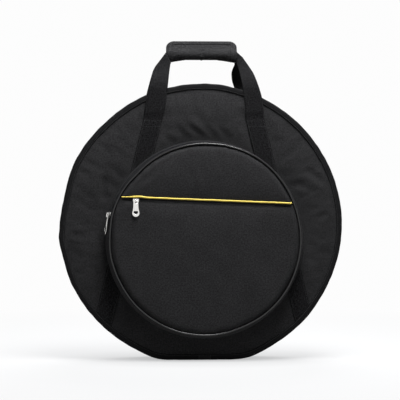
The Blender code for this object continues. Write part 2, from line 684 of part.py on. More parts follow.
def puller(name, frame, on):
    """Pull tab: its frame's origin is the pivot, X runs down the tab and Z through its thickness."""
    bar = PULLER_BAR / 2
    top = PULLER_TOP_WIDTH / 2
    end = PULLER_END_WIDTH / 2
    window = PULLER_WINDOW_WIDTH / 2
    round_x = PULLER_LENGTH - bar - end
    arc = [math.radians(180 * i / PULLER_ARC_STEPS - 90) for i in range(PULLER_ARC_STEPS + 1)]
    rounded = [(round_x + end * math.cos(a), end * math.sin(a)) for a in arc]
    outline = [(-bar, -top)] + rounded + [(-bar, top)]
    eye = [
        (bar, -window),
        (bar + PULLER_WINDOW_LENGTH, -window),
        (bar + PULLER_WINDOW_LENGTH, window),
        (bar, window),
    ]
    moon = [(round_x + PULLER_MOON_RADIUS * math.cos(a), PULLER_MOON_RADIUS * math.sin(a)) for a in arc]
    flat = bpy.data.curves.new(name, "CURVE")
    flat.dimensions = "2D"
    flat.fill_mode = "BOTH"
    flat.extrude = PULLER_THICK / 2
    for points in (outline, eye, moon):
        spline = flat.splines.new("POLY")
        spline.points.add(len(points) - 1)
        for point, (x, y) in zip(spline.points, points):
            point.co = (x, y, 0, 1)
        spline.use_cyclic_u = True
    guide = bpy.data.objects.new(name, flat)
    bpy.context.scene.collection.objects.link(guide)
    evaluated = guide.evaluated_get(bpy.context.evaluated_depsgraph_get())
    mesh = bpy.data.meshes.new_from_object(evaluated)
    bpy.data.objects.remove(guide)
    bm = bmesh.new()
    bm.from_mesh(mesh)
    bmesh.ops.remove_doubles(bm, verts=bm.verts, dist=WELD_DISTANCE)
    bm.transform(frame)
    mesh.materials.clear()
    add(name, close(bm, mesh), on, "nickel")


def lying_frame(frame, top, way, lean=0):
    """Frame of a puller that lies along a round zip; way is 1 along the travel, -1 against it."""
    turn = Matrix.Rotation(math.radians(0 if way > 0 else 180), 4, "Z")
    tip = Matrix.Rotation(math.radians(lean), 4, "Y")
    return frame @ Matrix.Translation((0, 0, top + PIVOT_RISE)) @ turn @ tip


def main_sliders():
    radius = MAIN_TAPE_RADIUS
    for hand, angle, way in (("left", MAIN_SLIDER_LEFT_ANGLE, -1), ("right", MAIN_SLIDER_RIGHT_ANGLE, 1)):
        name = "main_slider_" + hand
        frame = zip_frame(CASE_CENTRE, radius, -MAIN_ZIP_FORWARD, angle, 0)
        body(name, "case", CASE_CENTRE + Vector((0, -MAIN_ZIP_FORWARD, 0)))
        slider(name, frame, name, SLIDER_WIDTH, SLIDER_TOP, BAIL_LENGTH, MAIN_BAIL_OPENING, 0)
        hung = lying_frame(frame, SLIDER_TOP, way)
        body("main_puller_" + hand, name, hung.translation)
        puller("main_puller_" + hand, hung, "main_puller_" + hand)


def pocket_slider():
    radius = pocket_tape_radius(POCKET_ZIP_Y)
    flare = math.atan2(POCKET_BASE_RADIUS - PIPING_RING_RADIUS, POCKET_BASE_Y - POCKET_WALL_Y)
    frame = zip_frame(POCKET_CENTRE, radius, POCKET_ZIP_Y, POCKET_SLIDER_ANGLE, math.degrees(flare))
    body("pocket_slider", "lid", POCKET_CENTRE + Vector((0, POCKET_ZIP_Y, 0)))
    top = POCKET_SLIDER_TOP
    slider("pocket_slider", frame, "pocket_slider", POCKET_SLIDER_WIDTH, top, BAIL_LENGTH, BAIL_OPENING, 0)
    hung = lying_frame(frame, top, -1, POCKET_PULLER_LEAN)
    body("pocket_puller", "pocket_slider", hung.translation)
    puller("pocket_puller", hung, "pocket_puller")


def face_slider():
    from_middle = -LINE_HALF_LENGTH + FACE_SLIDER_FROM_END
    frame = line_frame(FACE_TAPE_Y) @ Matrix.Translation((from_middle, -FACE_ZIP_DROP, 0))
    body("face_slider", "pocket_flap", frame.translation)
    top = SLIDER_TOP
    slider("face_slider", frame, "face_slider", FACE_SLIDER_WIDTH, top, FACE_BAIL_LENGTH, BAIL_OPENING, 90)
    pivot = frame @ Vector((0, 0, top + PIVOT_RISE))
    # X of the puller points straight down and Z to the front.
    columns = Matrix(((0, 0, -1), (1, 0, 0), (0, -1, 0))).transposed().to_4x4()
    body("face_puller", "face_slider", pivot)
    puller("face_puller", Matrix.Translation(pivot) @ columns, "face_puller")


def handle_y(z):
    """Distance of the handle's webbing from the middle plane at a height, eased between levels."""
    sewn_y = STRAP_FACE_Y - WEBBING_THICK / 2
    if z < STRAP_TOP_Z + HANDLE_LOW_RISE:
        low_z, high_z, low_y, high_y = STRAP_TOP_Z, STRAP_TOP_Z + HANDLE_LOW_RISE, sewn_y, HANDLE_PLANE_Y
    else:
        low_z, high_z = RIM_TOP_Z - HANDLE_LEAN_DROP, GRIP_BOTTOM_Z
        low_y, high_y = HANDLE_PLANE_Y, GRIP_STRAP_Y
    share = min(1, max(0, (z - low_z) / (high_z - low_z)))
    return low_y + (high_y - low_y) * share * share * (3 - 2 * share)


def handle_edge(shares, foot_x, level_z):
    """Points of one edge of the webbing, from its foot to the middle of the grip."""
    foot_z = STRAP_TOP_Z + GAP
    end_x = GRIP_LENGTH / 2
    points = [(end_x + out * (foot_x - end_x), foot_z + up * (level_z - foot_z)) for out, up in shares]
    return points + [(end_x - GRIP_STRAP_INSET, level_z), (0, level_z)]


def handle_webbing(side, label):
    """Free webbing loop: a sheet between its two edges, thickened by Solidify."""
    outer_foot = STRAP_TOP_HALF_SPAN + STRAP_LEVEL_HALF_WIDTH
    inner_foot = STRAP_TOP_HALF_SPAN - STRAP_LEVEL_HALF_WIDTH
    outer_edge = handle_edge(HANDLE_OUTER_SHARES, outer_foot, GRIP_STRAP_HIGH_Z)
    inner_edge = handle_edge(HANDLE_INNER_SHARES, inner_foot, GRIP_STRAP_LOW_Z)
    stations = []
    pairs = list(zip(outer_edge, inner_edge))
    for (outer, inner), (next_outer, next_inner) in zip(pairs, pairs[1:]):
        for i in range(HANDLE_STEPS):
            t = i / HANDLE_STEPS
            stations.append((Vector(outer).lerp(next_outer, t), Vector(inner).lerp(next_inner, t)))
    left = [(-outer[0], outer[1], -inner[0], inner[1]) for outer, inner in stations]
    middle = [(0, GRIP_STRAP_HIGH_Z, 0, GRIP_STRAP_LOW_Z)]
    right = [(-ox, oz, -ix, iz) for ox, oz, ix, iz in reversed(left)]
    bm = bmesh.new()
    rows = []
    for ox, oz, ix, iz in left + middle + right:
        ends = ((ox, oz), (ix, iz))
        rows.append([bm.verts.new((SEWN_OFFSET + x, side * handle_y(z), z)) for x, z in ends])
    for row, following in zip(rows, rows[1:]):
        bm.faces.new((row[0], following[0], following[1], row[1]))
    bmesh.ops.recalc_face_normals(bm, faces=bm.faces)
    mesh = bpy.data.meshes.new("webbing")
    bm.to_mesh(mesh)
    bm.free()
    piece = add(label + "_handle_webbing", round_shaded(mesh), label + "_handle", "webbing")
    thicken = piece.modifiers.new("Thickness", "SOLIDIFY")
    thicken.thickness = WEBBING_THICK
    thicken.offset = 0


def grip_outline(half, bottom_z, top_z, corner):
    """Upright outline with two rounded top corners, from bottom left to bottom right."""
    points = [(-half, bottom_z)]
    for centre_x, first in ((-half + corner, 180), (half - corner, 90)):
        for i in range(CORNER_STEPS + 1):
            a = math.radians(first - 90 * i / CORNER_STEPS)
            points.append((centre_x + corner * math.cos(a), top_z - corner + corner * math.sin(a)))
    return points + [(half, bottom_z)]


def grip(side, label, closure):
    """One leaf of the grip: a padded sleeve on its handle, a bound edge and its closure strip."""
    on = label + "_handle"
    half = GRIP_LENGTH / 2
    leaf_inner_y = GAP / 2 + CLOSURE_THICK + GAP
    leaf_middle_y = side * (GRIP_LEAF_REACH + leaf_inner_y) / 2
    facing = Matrix.Rotation(math.radians(90), 4, "X")
    shell = grip_outline(half, GRIP_BOTTOM_Z, GRIP_TOP_Z, GRIP_CORNER)
    place = Matrix.Translation((SEWN_OFFSET, leaf_middle_y, 0)) @ facing
    leaf = add(label + "_grip_pad", prism(shell, GRIP_LEAF_REACH - leaf_inner_y, place), on, "shell_fabric")
    slot_half = WEBBING_THICK / 2 + GRIP_SLOT_CLEARANCE
    front_y, rear_y = sorted((side * (GRIP_STRAP_Y - slot_half), side * (GRIP_STRAP_Y + slot_half)))
    low_z = GRIP_STRAP_LOW_Z - GRIP_SLOT_CLEARANCE
    high_z = GRIP_STRAP_HIGH_Z + GRIP_SLOT_CLEARANCE
    reach = half + CUT_OVERRUN
    low = (SEWN_OFFSET - reach, front_y, low_z)
    high = (SEWN_OFFSET + reach, rear_y, high_z)
    slot = add(label + "_grip_slot", box(low, high), on, None, "cutters")
    cut = leaf.modifiers.new("Strap slot", "BOOLEAN")
    cut.operation = "DIFFERENCE"
    cut.solver = "EXACT"
    cut.object = slot

    inner_half = half - GRIP_BINDING_SIDE
    inner = grip_outline(inner_half, GRIP_BOTTOM_Z, GRIP_TOP_Z - GRIP_BINDING_TOP, GRIP_CORNER / 2)
    edge_y = side * (GRIP_LEAF_REACH + GAP + GRIP_BINDING_THICK / 2)
    place = Matrix.Translation((SEWN_OFFSET, edge_y, 0)) @ facing
    bound = prism(shell + inner[::-1], GRIP_BINDING_THICK, place)
    add(label + "_grip_binding", bound, on, "binding_tape")

    near_y, far_y = sorted((side * GAP / 2, side * (GAP / 2 + CLOSURE_THICK)))
    low = (SEWN_OFFSET - inner_half, near_y, GRIP_BOTTOM_Z + CLOSURE_MARGIN)
    high = (SEWN_OFFSET + inner_half, far_y, GRIP_TOP_Z - CLOSURE_MARGIN)
    add(label + "_grip_" + closure, box(low, high), on, "hook_and_loop")


def handle(side, label, on, closure):
    body(label + "_handle", on, (SEWN_OFFSET, side * STRAP_FACE_Y, STRAP_TOP_Z))
    handle_webbing(side, label)
    grip(side, label, closure)


def build():
    for leftover in list(bpy.data.objects):
        bpy.data.objects.remove(leftover)
    collection("cymbal_bag")
    collection("cutters").hide_render = True

    body("case", None, (0, 0, 0))
    body("lid", "case", (0, -HALF_DEPTH, 0))
    body("pocket_flap", "lid", (POCKET_CENTRE.x, POCKET_FACE_Y, FOLD_Z))

    for side, label, on in ((-1, "front", "lid"), (1, "rear", "case")):
        panel(side, label, on)
        rim_binding(side, label, on)
        sewn_strap(side, -1, label + "_strap_left", on)
        sewn_strap(side, 1, label + "_strap_right", on)
    binding_join()
    side_wall()
    pocket_on_lid()
    pocket_flap()
    yellow_line()
    handle(-1, "front", "lid", "hook_strip")
    handle(1, "rear", "case", "loop_strip")
    main_sliders()
    pocket_slider()
    face_slider()
    bpy.context.view_layer.update()


build()
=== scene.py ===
"""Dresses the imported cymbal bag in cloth, webbing, zips, piping and metal, and sets the stage.

Pieces are drawn in millimetres in the case frame: x to the right, y = 0 on the middle plane of the
case with the pocket towards -y, and z = 0 on the floor. Angles run clockwise from the top, seen from
the front. Each piece's UV map is in metres along and across its cloth, so a weave keeps its real size.
"""

import math

import bmesh
import bpy
import numpy as np
from mathutils import Matrix, Vector, geometry, noise


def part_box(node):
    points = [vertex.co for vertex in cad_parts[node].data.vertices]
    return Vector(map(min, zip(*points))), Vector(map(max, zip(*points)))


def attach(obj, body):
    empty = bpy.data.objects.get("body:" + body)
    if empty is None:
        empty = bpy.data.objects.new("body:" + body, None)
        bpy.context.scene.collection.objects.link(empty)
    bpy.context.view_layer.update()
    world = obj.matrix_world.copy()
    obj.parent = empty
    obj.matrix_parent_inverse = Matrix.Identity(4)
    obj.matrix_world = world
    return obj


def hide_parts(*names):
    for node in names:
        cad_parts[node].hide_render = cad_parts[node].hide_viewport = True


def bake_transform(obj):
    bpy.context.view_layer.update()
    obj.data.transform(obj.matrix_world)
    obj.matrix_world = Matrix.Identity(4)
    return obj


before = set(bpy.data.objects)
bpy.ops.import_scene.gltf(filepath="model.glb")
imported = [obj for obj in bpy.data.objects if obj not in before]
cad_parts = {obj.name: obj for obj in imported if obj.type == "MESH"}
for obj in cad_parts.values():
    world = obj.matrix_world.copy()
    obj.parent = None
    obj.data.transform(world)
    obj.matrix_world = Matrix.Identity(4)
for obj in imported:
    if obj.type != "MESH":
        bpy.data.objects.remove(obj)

bl_info = {
    "name": "Cymbal Bag",
    "version": (1, 0, 0),
    "blender": (4, 5, 0),
    "location": "View3D > Sidebar > Bag",
    "description": "Builds a round padded cymbal bag with a front pocket on its packed frame",
    "category": "Add Mesh",
}

MM = 0.001
FRONT_RIM = [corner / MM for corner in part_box("front_rim_binding")]
REAR_RIM = [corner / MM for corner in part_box("rear_rim_binding")]
MIDDLE_Y = (FRONT_RIM[0].y + REAR_RIM[1].y) / 2
PLACE = Matrix.Translation((0, MIDDLE_Y * MM, 0)) @ Matrix.Scale(MM, 4)

# Case
RIM = (FRONT_RIM[1].x - FRONT_RIM[0].x) / 2
CASE = Vector((0, 0, FRONT_RIM[1].z - RIM))
HALF_DEPTH = (REAR_RIM[1].y - FRONT_RIM[0].y) / 2
RIM_TOP = FRONT_RIM[1].z
COVER_R, COVER_Y, COVER_BACK_Y = 286.0, 40.7, 38.9
ROUND = (0, 357)  # A closed outline stops short of its first point
BINDING_R = 278.0
PAD_R, FOAM_BACK_Y, LINING_Y, LINING_BACK_Y, QUILT, QUILT_PUFF = 276.0, 32.6, 32.3, 31.5, 70, 3.2
GUSSET_R, GUSSET_THICK, GUSSET_EDGE_Y, BASE_ANGLE = 282.0, 3.0, 37.3, 150.0
ZIP_Y, SLOT, TAPE_R, MAIN_TAPE = -13.0, 1.4, 281.2, 10.5
ZIP_END, TAPE_THICK, COIL_RISE, SEAM = BASE_ANGLE - 0.03, 1.0, 0.35, 0.3
BASE_HINGE = ("case", "lid", (0, 0.5 - GUSSET_EDGE_Y, 4), (0, -GUSSET_EDGE_Y - 2.4, 4))

# Pocket
POCKET = Vector((6.0, 0, 248.0))
FACE_R, FACE_Y, FACE_THICK = 193.2, 80.7, 1.6
PIPING_R, PIPING_Y, PIPING = 195.1, 79.1, 1.6
WALL_FRONT_Y, WALL_BASE_Y, WALL_BASE_R, WALL_THICK = 77.2, 42.9, 205.0, 2.0
POCKET_ZIP_Y, POCKET_TAPE = -62.2, 9.0
FOLD_Z = 274.0
FOLD_ANGLE = math.degrees(math.acos((FOLD_Z - POCKET.z) / FACE_R))
FLARE = math.atan2(WALL_BASE_R - PIPING_R, WALL_FRONT_Y - WALL_BASE_Y)
POCKET_HINGE = ("lid", "pocket_flap", (POCKET.x, -FACE_Y, FOLD_Z - 7), (POCKET.x, -FACE_Y, FOLD_Z + 7))

# Yellow line and the zip under it
LINE_SLOPE = math.radians(2.3)
LINE_ALONG = Vector((math.cos(LINE_SLOPE), 0, -math.sin(LINE_SLOPE)))
LINE_UP = Vector((math.sin(LINE_SLOPE), 0, math.cos(LINE_SLOPE)))
LINE_RISE = 81.0
LINE = POCKET + LINE_RISE * LINE_UP
LINE_HALF, LINE_Y, YELLOW, FACE_SLIDER = 173.2, 81.2, 1.6, 29.5
FACE_ZIP_DROP, FACE_TAPE, FACE_TAPE_Y, FACE_LIP, LINE_SEAM = 5.7, 12.0, 78.8, 9.4, -2.3
PUSHED = 138  # How far left of its middle the slider pushes the line up

# The face inside its piping: a groove's half width and depth, and how far a seam pulls the cloth in
GROOVE, GROOVE_DEEP, SEAM_PULL = 3.2, 4.6, 0.4

# Metal: angles of the sliders on the round zips, each pivot's height above its tape, and the pull tabs
MAIN_SLIDER_LEFT, MAIN_SLIDER_RIGHT, POCKET_SLIDER = -4.1, -1.0, -75.4
PIVOT_RISE, POCKET_PIVOT_RISE = 4.1, 5.4
TAB_LONG, TAB_TIP_R, TAB_THICK, MAIN_EYE, SHORT_EYE, POCKET_TAB_STRETCH = 33.2, 7.3, 1.3, 6.6, 4.8, 1.25

# Webbing and grip
STRAP_X, STRAP_TOP, STRAP_SPLAY, WEBBING, WEBBING_THICK = 104.4, 496.0, 13.8, 38.0, 1.6
STRAP_Y, HANDLE_Y = 41.8, 43.6
STRAP_LEVEL_HALF = WEBBING / 2 / math.cos(math.radians(STRAP_SPLAY))
GRIP_X, GRIP_HALF, GRIP_CORNER, GRIP_SHOULDER = 2.8, 72.3, 16.0, 12.5
GRIP_LOW, GRIP_TOP, GRIP_INNER_Y, GRIP_SEAM = 612.0, 656.0, 1.35, 640.2
GRIP_ARCH, GRIP_STRAP_Y, FOLD_Y = 6.8, 4.5, 15.0
GRIP_SIDE_BINDING, GRIP_TOP_BINDING = 13.0, 5.6

# Free webbing: (x, z) down each edge, from its fold beside the grip to the top of the sewn strap
LEFT_OUTER = [(-72, 632), (-83.7, 616.4), (-95.2, 600.6), (-100.8, 584), (-106, 565), (-111.3, 543), (-114.9, 520),
              (-118, 496.3)]
LEFT_INNER = [(-61.8, 609.6), (-63.4, 600), (-65.4, 586), (-68.6, 559), (-71.2, 537), (-74.4, 514.5), (-78.8, 496.3)]
RIGHT_OUTER = [(87.2, 623.5), (95.3, 611.5), (103.3, 599), (109.4, 587.5), (117.2, 565.5), (124.6, 541), (127.8, 520),
               (130, 496.3)]
RIGHT_INNER = [(75.4, 609.6), (78.4, 598), (81.8, 582), (85.6, 560), (88.2, 541), (89.8, 520), (90.8, 496.3)]
REAR_RIGHT_OUTER = [(84, 624), (96, 604), (104.5, 585), (112.5, 560), (122, 528), (130, 496.3)]
REAR_RIGHT_INNER = [(73, 610.5), (70, 603), (67.6, 596), (67.4, 588), (69.6, 575), (74.8, 560), (83, 530),
                    (90.8, 496.3)]

# Half of the grip in section, from its foot up its outer face to its top: distance from the middle plane, and z
LEAF = [
    (1.5, 615.6), (3.0, 613.0), (5.2, 612.0), (7.8, 612.9), (10.6, 615.9), (13.0, 620.8), (14.5, 626.6), (14.7, 631.6),
    (13.4, 635.8), (11.2, 638.8), (10.0, GRIP_SEAM), (9.0, 641.8), (7.2, 645.4), (5.5, 649.4), (4.2, 652.9),
    (3.2, 655.4), (1.5, 655.4),
]

# Material and slot of what the bag mostly is
SHELL, LINING = ("woven_polyester", "shell_fabric"), ("taffeta_lining", "lining")
WEB, NICKEL = ("twill_webbing", "webbing"), ("polished_nickel", "nickel")

# Stage: what the camera aims at and sees at the front of the rim, and the light
AIM_X, AIM_Z, VIEW_WIDE, SENSOR = -2.3, 328.9, 820.8, 36
ROOM_LIGHT, LAMP_SPREAD = 0.17, math.radians(110)

# How far the sewn rim stands out of round: angle, height and half width
RIM_LUMPS = [
    (282, -4.2, 9), (264, 3.0, 4.5), (246, 1.4, 9), (318, -2.0, 14), (211, -2.0, 13), (147, -1.9, 8),
    (118, -1.1, 14), (82, 1.3, 22), (6, 1.2, 9), (192, 1.5, 8),
]

# The same for the pocket's front edge, and how far its base hangs in at the lower left
POCKET_LUMPS = [
    (36, 3.4, 30), (156, -2.2, 16), (184, -1.2, 14), (215, -2.4, 22), (245, -2.4, 16), (273, -2.0, 10), (315, -2.2, 9),
    (350, 0.6, 10),
]
BASE_LUMPS = [(236, -3.2, 44)]

# Soft creases of the front panel and of the pocket's face: start x, z, end x, z, depth and half width
CREASES = [
    (214, 392, 262, 360, 1.9, 7.0), (190, 366, 226, 350, 1.4, 6.0), (230, 408, 252, 396, 1.3, 5.0),
    (264, 300, 238, 292, 1.4, 6.0), (262, 250, 240, 246, 1.0, 6.0), (-262, 392, -226, 380, 1.4, 7.0),
    (-270, 262, -238, 254, 1.5, 7.0), (-262, 210, -236, 214, 1.1, 6.0), (-236, 330, -262, 318, 1.0, 8.0),
    (-82, 466, -50, 438, 1.8, 7.0), (-30, 484, 20, 444, 2.6, 7.0), (4, 480, 38, 450, 1.9, 5.5),
    (-54, 484, -26, 452, 1.5, 6.0), (36, 476, 66, 446, 1.8, 6.0), (-20, 512, 8, 478, 1.0, 9.0),
    (-198, 376, -202, 322, 2.6, 9.0), (-212, 262, -204, 226, 1.8, 8.0), (96, 64, 122, 88, 1.0, 6.0),
    (-120, 66, -150, 104, 0.9, 8.0),
]
FACE_CREASES = [
    (34, 438, 40, 380, 1.4, 6.0), (-10, 424, 2, 372, 0.8, 9.0), (-136, 356, -88, 394, 1.2, 6.0),
    (100, 226, 140, 268, 0.6, 10.0), (-154, 292, -118, 250, 0.5, 10.0), (10, 210, 60, 150, 0.5, 14.0),
]


def srgb(code):
    """Linear colour of a hex code."""
    parts = [int(code[i : i + 2], 16) / 255 for i in (1, 3, 5)]
    return [p / 12.92 if p <= 0.04045 else ((p + 0.055) / 1.055) ** 2.4 for p in parts]


# ---- Settings that a user would change ----


def colour_setting(name, description, code):
    """Colour that a user can set."""
    return bpy.props.FloatVectorProperty(
        name=name, description=description, subtype="COLOR", min=0, max=1, default=srgb(code))


def length_setting(name, description, default, low, high):
    """Length in metres that a user can set."""
    return bpy.props.FloatProperty(
        name=name, description=description, subtype="DISTANCE", unit="LENGTH", min=low, max=high, default=default)


def angle_setting(name, description, degrees):
    """Angle that a user can set."""
    return bpy.props.FloatProperty(
        name=name, description=description, subtype="ANGLE", unit="ROTATION", default=math.radians(degrees))


class BagColours(bpy.types.PropertyGroup):
    shell: colour_setting("Shell", "Woven polyester of the panels and the pocket", "#262627")
    trim: colour_setting("Trim", "Binding tape and zip tape", "#141415")
    webbing: colour_setting("Webbing", "Handle straps", "#171718")
    line: colour_setting("Line", "Piping above the face zip", "#cdb64d")
    lining: colour_setting("Lining", "Quilted lining", "#303134")


class BagShape(bpy.types.PropertyGroup):
    panel_swell: length_setting(
        "Panel swell", "Most that a padded panel stands proud of its seams", 0.0065, 0, 0.012)
    pocket_swell: length_setting("Pocket swell", "Most that the pocket's face stands proud", 0.005, 0, 0.01)
    grip_swell: length_setting("Grip swell", "Most that the grip's padding swells", 0.002, 0, 0.004)
    cloth_spacing: length_setting("Cloth spacing", "Distance between the points of a cloth sheet", 0.006, 0.003, 0.02)
    stitch_pitch: length_setting("Stitch pitch", "Distance from one stitch to the next", 0.0036, 0.002, 0.01)
    tooth_pitch: length_setting("Tooth pitch", "Distance between two coil teeth of a zip", 0.0021, 0.001, 0.006)


class BagStage(bpy.types.PropertyGroup):
    azimuth: angle_setting("Azimuth", "Camera angle, negative towards the bag's left", -3)
    elevation: angle_setting("Elevation", "Camera angle above the level", 1.2)
    distance: length_setting("Distance", "From the camera to the front of the rim", 3.6, 0.5, 20)
    paper: bpy.props.FloatProperty(
        name="Paper", description="Brightness of the background paper", subtype="FACTOR", min=0, max=1, default=0.98)


# ---- Meshes ----


def lofted(rows, along=False):
    """Mesh through closed rows of points. Along joins the last row to the first, else both ends are capped."""
    rows = np.asarray(rows, float)
    n, m = rows.shape[:2]
    faces, corners = [], []
    u = np.concatenate(([0], np.cumsum(np.linalg.norm(np.diff(rows, axis=0), axis=2).mean(1))))
    v = np.concatenate(([0], np.cumsum(np.linalg.norm(np.diff(rows, axis=1), axis=2).mean(0))))
    u = np.append(u, u[-1] + np.linalg.norm(rows[0] - rows[-1], axis=1).mean()) * MM
    v = np.append(v, v[-1] + np.linalg.norm(rows[:, 0] - rows[:, -1], axis=1).mean()) * MM
    for i in range(n if along else n - 1):
        for j in range(m):
            a, b = (i + 1) % n, (j + 1) % m
            faces.append((i * m + j, i * m + b, a * m + b, a * m + j))
            corners += [(u[i], v[j]), (u[i], v[j + 1]), (u[i + 1], v[j + 1]), (u[i + 1], v[j])]
    if not along:
        for i, order in ((0, range(m)), (n - 1, reversed(range(m)))):
            faces.append(tuple(i * m + j for j in order))
            corners += [(u[i], v[k]) for k in range(m)]
    return drawn(rows.reshape(-1, 3), faces, corners)


def drawn(points, faces, corners=None):
    """Mesh of points and faces with a UV for each face corner, or the points' own x and z."""
    mesh = bpy.data.meshes.new("drawn")
    mesh.from_pydata([tuple(p) for p in np.asarray(points, float)], [], [tuple(map(int, f)) for f in faces])
    if corners is None:
        corners = [(points[i][0] * MM, points[i][2] * MM) for face in faces for i in face]
    layer = mesh.uv_layers.new(name="Cloth")
    layer.data.foreach_set("uv", np.asarray(corners, np.float32).ravel())
    bm = bmesh.new()
    bm.from_mesh(mesh)
    bmesh.ops.recalc_face_normals(bm, faces=bm.faces)
    bm.to_mesh(mesh)
    bm.free()
    return mesh


def joined(*meshes):
    """One mesh of several, with their UVs."""
    bm = bmesh.new()
    for mesh in meshes:
        bm.from_mesh(mesh)
        bpy.data.meshes.remove(mesh)
    mesh = bpy.data.meshes.new("joined")
    bm.to_mesh(mesh)
    bm.free()
    return mesh


def linked(name, data):
    """New object in the scene."""
    obj = bpy.data.objects.new(name, data)
    bpy.context.scene.collection.objects.link(obj)
    return obj


def piece(name, mesh, on, material, slot, replaces=(), sharp=50):
    """Make a drawn mesh a piece that rides on its body; given (a, b, start, end) instead of a body, it stays where it
    is drawn.
    """
    mesh.name = name
    mesh.transform(PLACE)
    mesh.shade_smooth()
    mesh.set_sharp_from_angle(angle=math.radians(sharp))
    mesh.materials.clear()
    mesh.materials.append(bpy.data.materials[material])
    obj = linked(name, mesh)
    if isinstance(on, str):
        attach(obj, on)
    else:
        a, b, start, end = on
        PLACE @ Vector(start)
        PLACE @ Vector(end)
        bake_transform(obj)
    if replaces:
        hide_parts(*replaces)
    return obj


def bumps(lumps, a):
    """Sum of smooth lumps, each an angle, a height and a half width, at one angle."""
    turn = math.degrees(a) % 360
    out = 0.0
    for angle, height, half in lumps:
        gap = (turn - angle + 180) % 360 - 180
        out += height * math.exp(-((gap / half) ** 2))
    return out


def lump(a, y):
    """How far the case stands out of round at an angle, most at its rims and none at its zip."""
    return bumps(RIM_LUMPS, a) * min(1.0, (y / HALF_DEPTH) ** 2) * (1.0 if y < 0 else 0.6)


def slack(a, y):
    """How far the pocket's side hangs out of round at its front edge and at its base, and none at its zip."""
    return bumps(POCKET_LUMPS, a) * ease((-y - 64) / 13) + bumps(BASE_LUMPS, a) * ease((y + 60) / 12)


def standing(z, r):
    """Height of a point of the case with its foot pressed softly on the floor."""
    floor = max(0.0, RIM - r)
    over = max(0.0, 9.0 - abs(z - floor)) / 9.0
    return max(z, floor) + over * over * 2.2 * (z > floor - 9.0)


def ring(profile, centre, start=0, end=360, *, steps, shape=None, press=False):
    """Turn a closed (radius, y) profile about a front to back axis; press flattens the foot of the case."""
    rows, full = [], end - start >= 360
    for i in range(steps + (not full)):
        a = math.radians(start + (end - start) * i / steps)
        row = []
        for r, y in profile:
            if shape:
                r, y = shape(a, r, y)
            out = r + lump(a, y) if press else r
            z = centre.z + out * math.cos(a)
            row.append((centre.x + out * math.sin(a), y, standing(z, r) if press else z))
        rows.append(row)
    return lofted(rows, along=full)


def wall_profile(radius_at, y0, y1, thick, swell, steps=8):
    """Profile of a wall from y0 to y1 whose outer face swells between its seams."""
    ys = [y0 + (y1 - y0) * i / steps for i in range(steps + 1)]
    humps = [math.sin(math.pi * i / steps) ** 0.6 for i in range(steps + 1)]
    outer = [(radius_at(y) - 0.25 * (h < 0.01) + swell * h, y) for y, h in zip(ys, humps)]
    inner = [(radius_at(y) - thick + 0.25 * (h < 0.01), y) for y, h in zip(ys, humps)]
    return outer + inner[::-1]


def ruffle(size, length, seed):
    """Shape for ring(): small waves along the cloth, in mm."""

    def shape(a, r, y):
        p = Vector((r * math.sin(a) / length, r * math.cos(a) / length, y / 14 + seed))
        return r + size * noise.noise(p), y + 0.4 * size * noise.noise(p + Vector((7, 3, 1)))

    return shape


def circle(r, y, radius):
    """Closed (radius, y) profile of a round cord."""
    turns = [2 * math.pi * i / 12 for i in range(12)]
    return [(r + radius * math.cos(t), y + radius * math.sin(t)) for t in turns]


def smooth(points, per=6):
    """Points of a soft curve through the given ones."""
    points = [Vector(p) for p in points]
    ends = [2 * points[0] - points[1]] + points + [2 * points[-1] - points[-2]]
    out = []
    for a, b, c, d in zip(ends, ends[1:], ends[2:], ends[3:]):
        for i in range(per):
            t = i / per
            out.append(
                0.5 * (2 * b + (c - a) * t + (2 * a - 5 * b + 4 * c - d) * t**2 + (3 * b - a - 3 * c + d) * t**3)
            )
    return out + [points[-1]]


def ease(share):
    """Smooth step from 0 to 1."""
    share = min(1.0, max(0.0, share))
    return share * share * (3 - 2 * share)


def away(points, lines):
    """Distance of each (x, z) point from the nearest of some polylines."""
    points = np.asarray(points, float)
    nearest = np.full(len(points), 1e9)
    for line in lines:
        line = np.asarray(line, float)
        for a, b in zip(line, line[1:]):
            d = b - a
            t = np.clip(((points - a) @ d) / max(d @ d, 1e-9), 0, 1)
            nearest = np.minimum(nearest, np.linalg.norm(points - a - t[:, None] * d, axis=1))
    return nearest


def spaced(line, step):
    """The same polyline with points about a step apart."""
    out = [line[0]]
    for a, b in zip(line, line[1:]):
        count = max(1, round(math.dist(a, b) / step))
        out += [tuple(a[k] + (b[k] - a[k]) * i / count for k in (0, 1)) for i in range(1, count + 1)]
    return out


def cut_sheet(outline, seams, step):
    """Triangles of a flat sheet inside an outline, with edges along its seams."""
    outline = spaced(list(outline) + [outline[0]], step)[:-1]
    seams = [spaced(seam, step) for seam in seams]
    xs, zs = zip(*outline)
    rows = np.arange(min(zs), max(zs), step * 0.866)
    lattice = np.array([
        (x, z) for i, z in enumerate(rows) for x in np.arange(min(xs) + step / 2 * (i % 2), max(xs), step)
    ])
    closed = outline + [outline[0]]
    lattice = lattice[away(lattice, [closed] + seams) > step * 0.6]
    verts, edges = list(outline), [(i, (i + 1) % len(outline)) for i in range(len(outline))]
    for seam in seams:
        edges += [(len(verts) + i, len(verts) + i + 1) for i in range(len(seam) - 1)]
        verts += seam
    verts += [tuple(p) for p in lattice]
    made = geometry.delaunay_2d_cdt([Vector(v) for v in verts], edges, [], 1, 0.01)
    return np.array([tuple(v) for v in made[0]]), [tuple(f) for f in made[2]]


CLOTH_FRAMES = 20


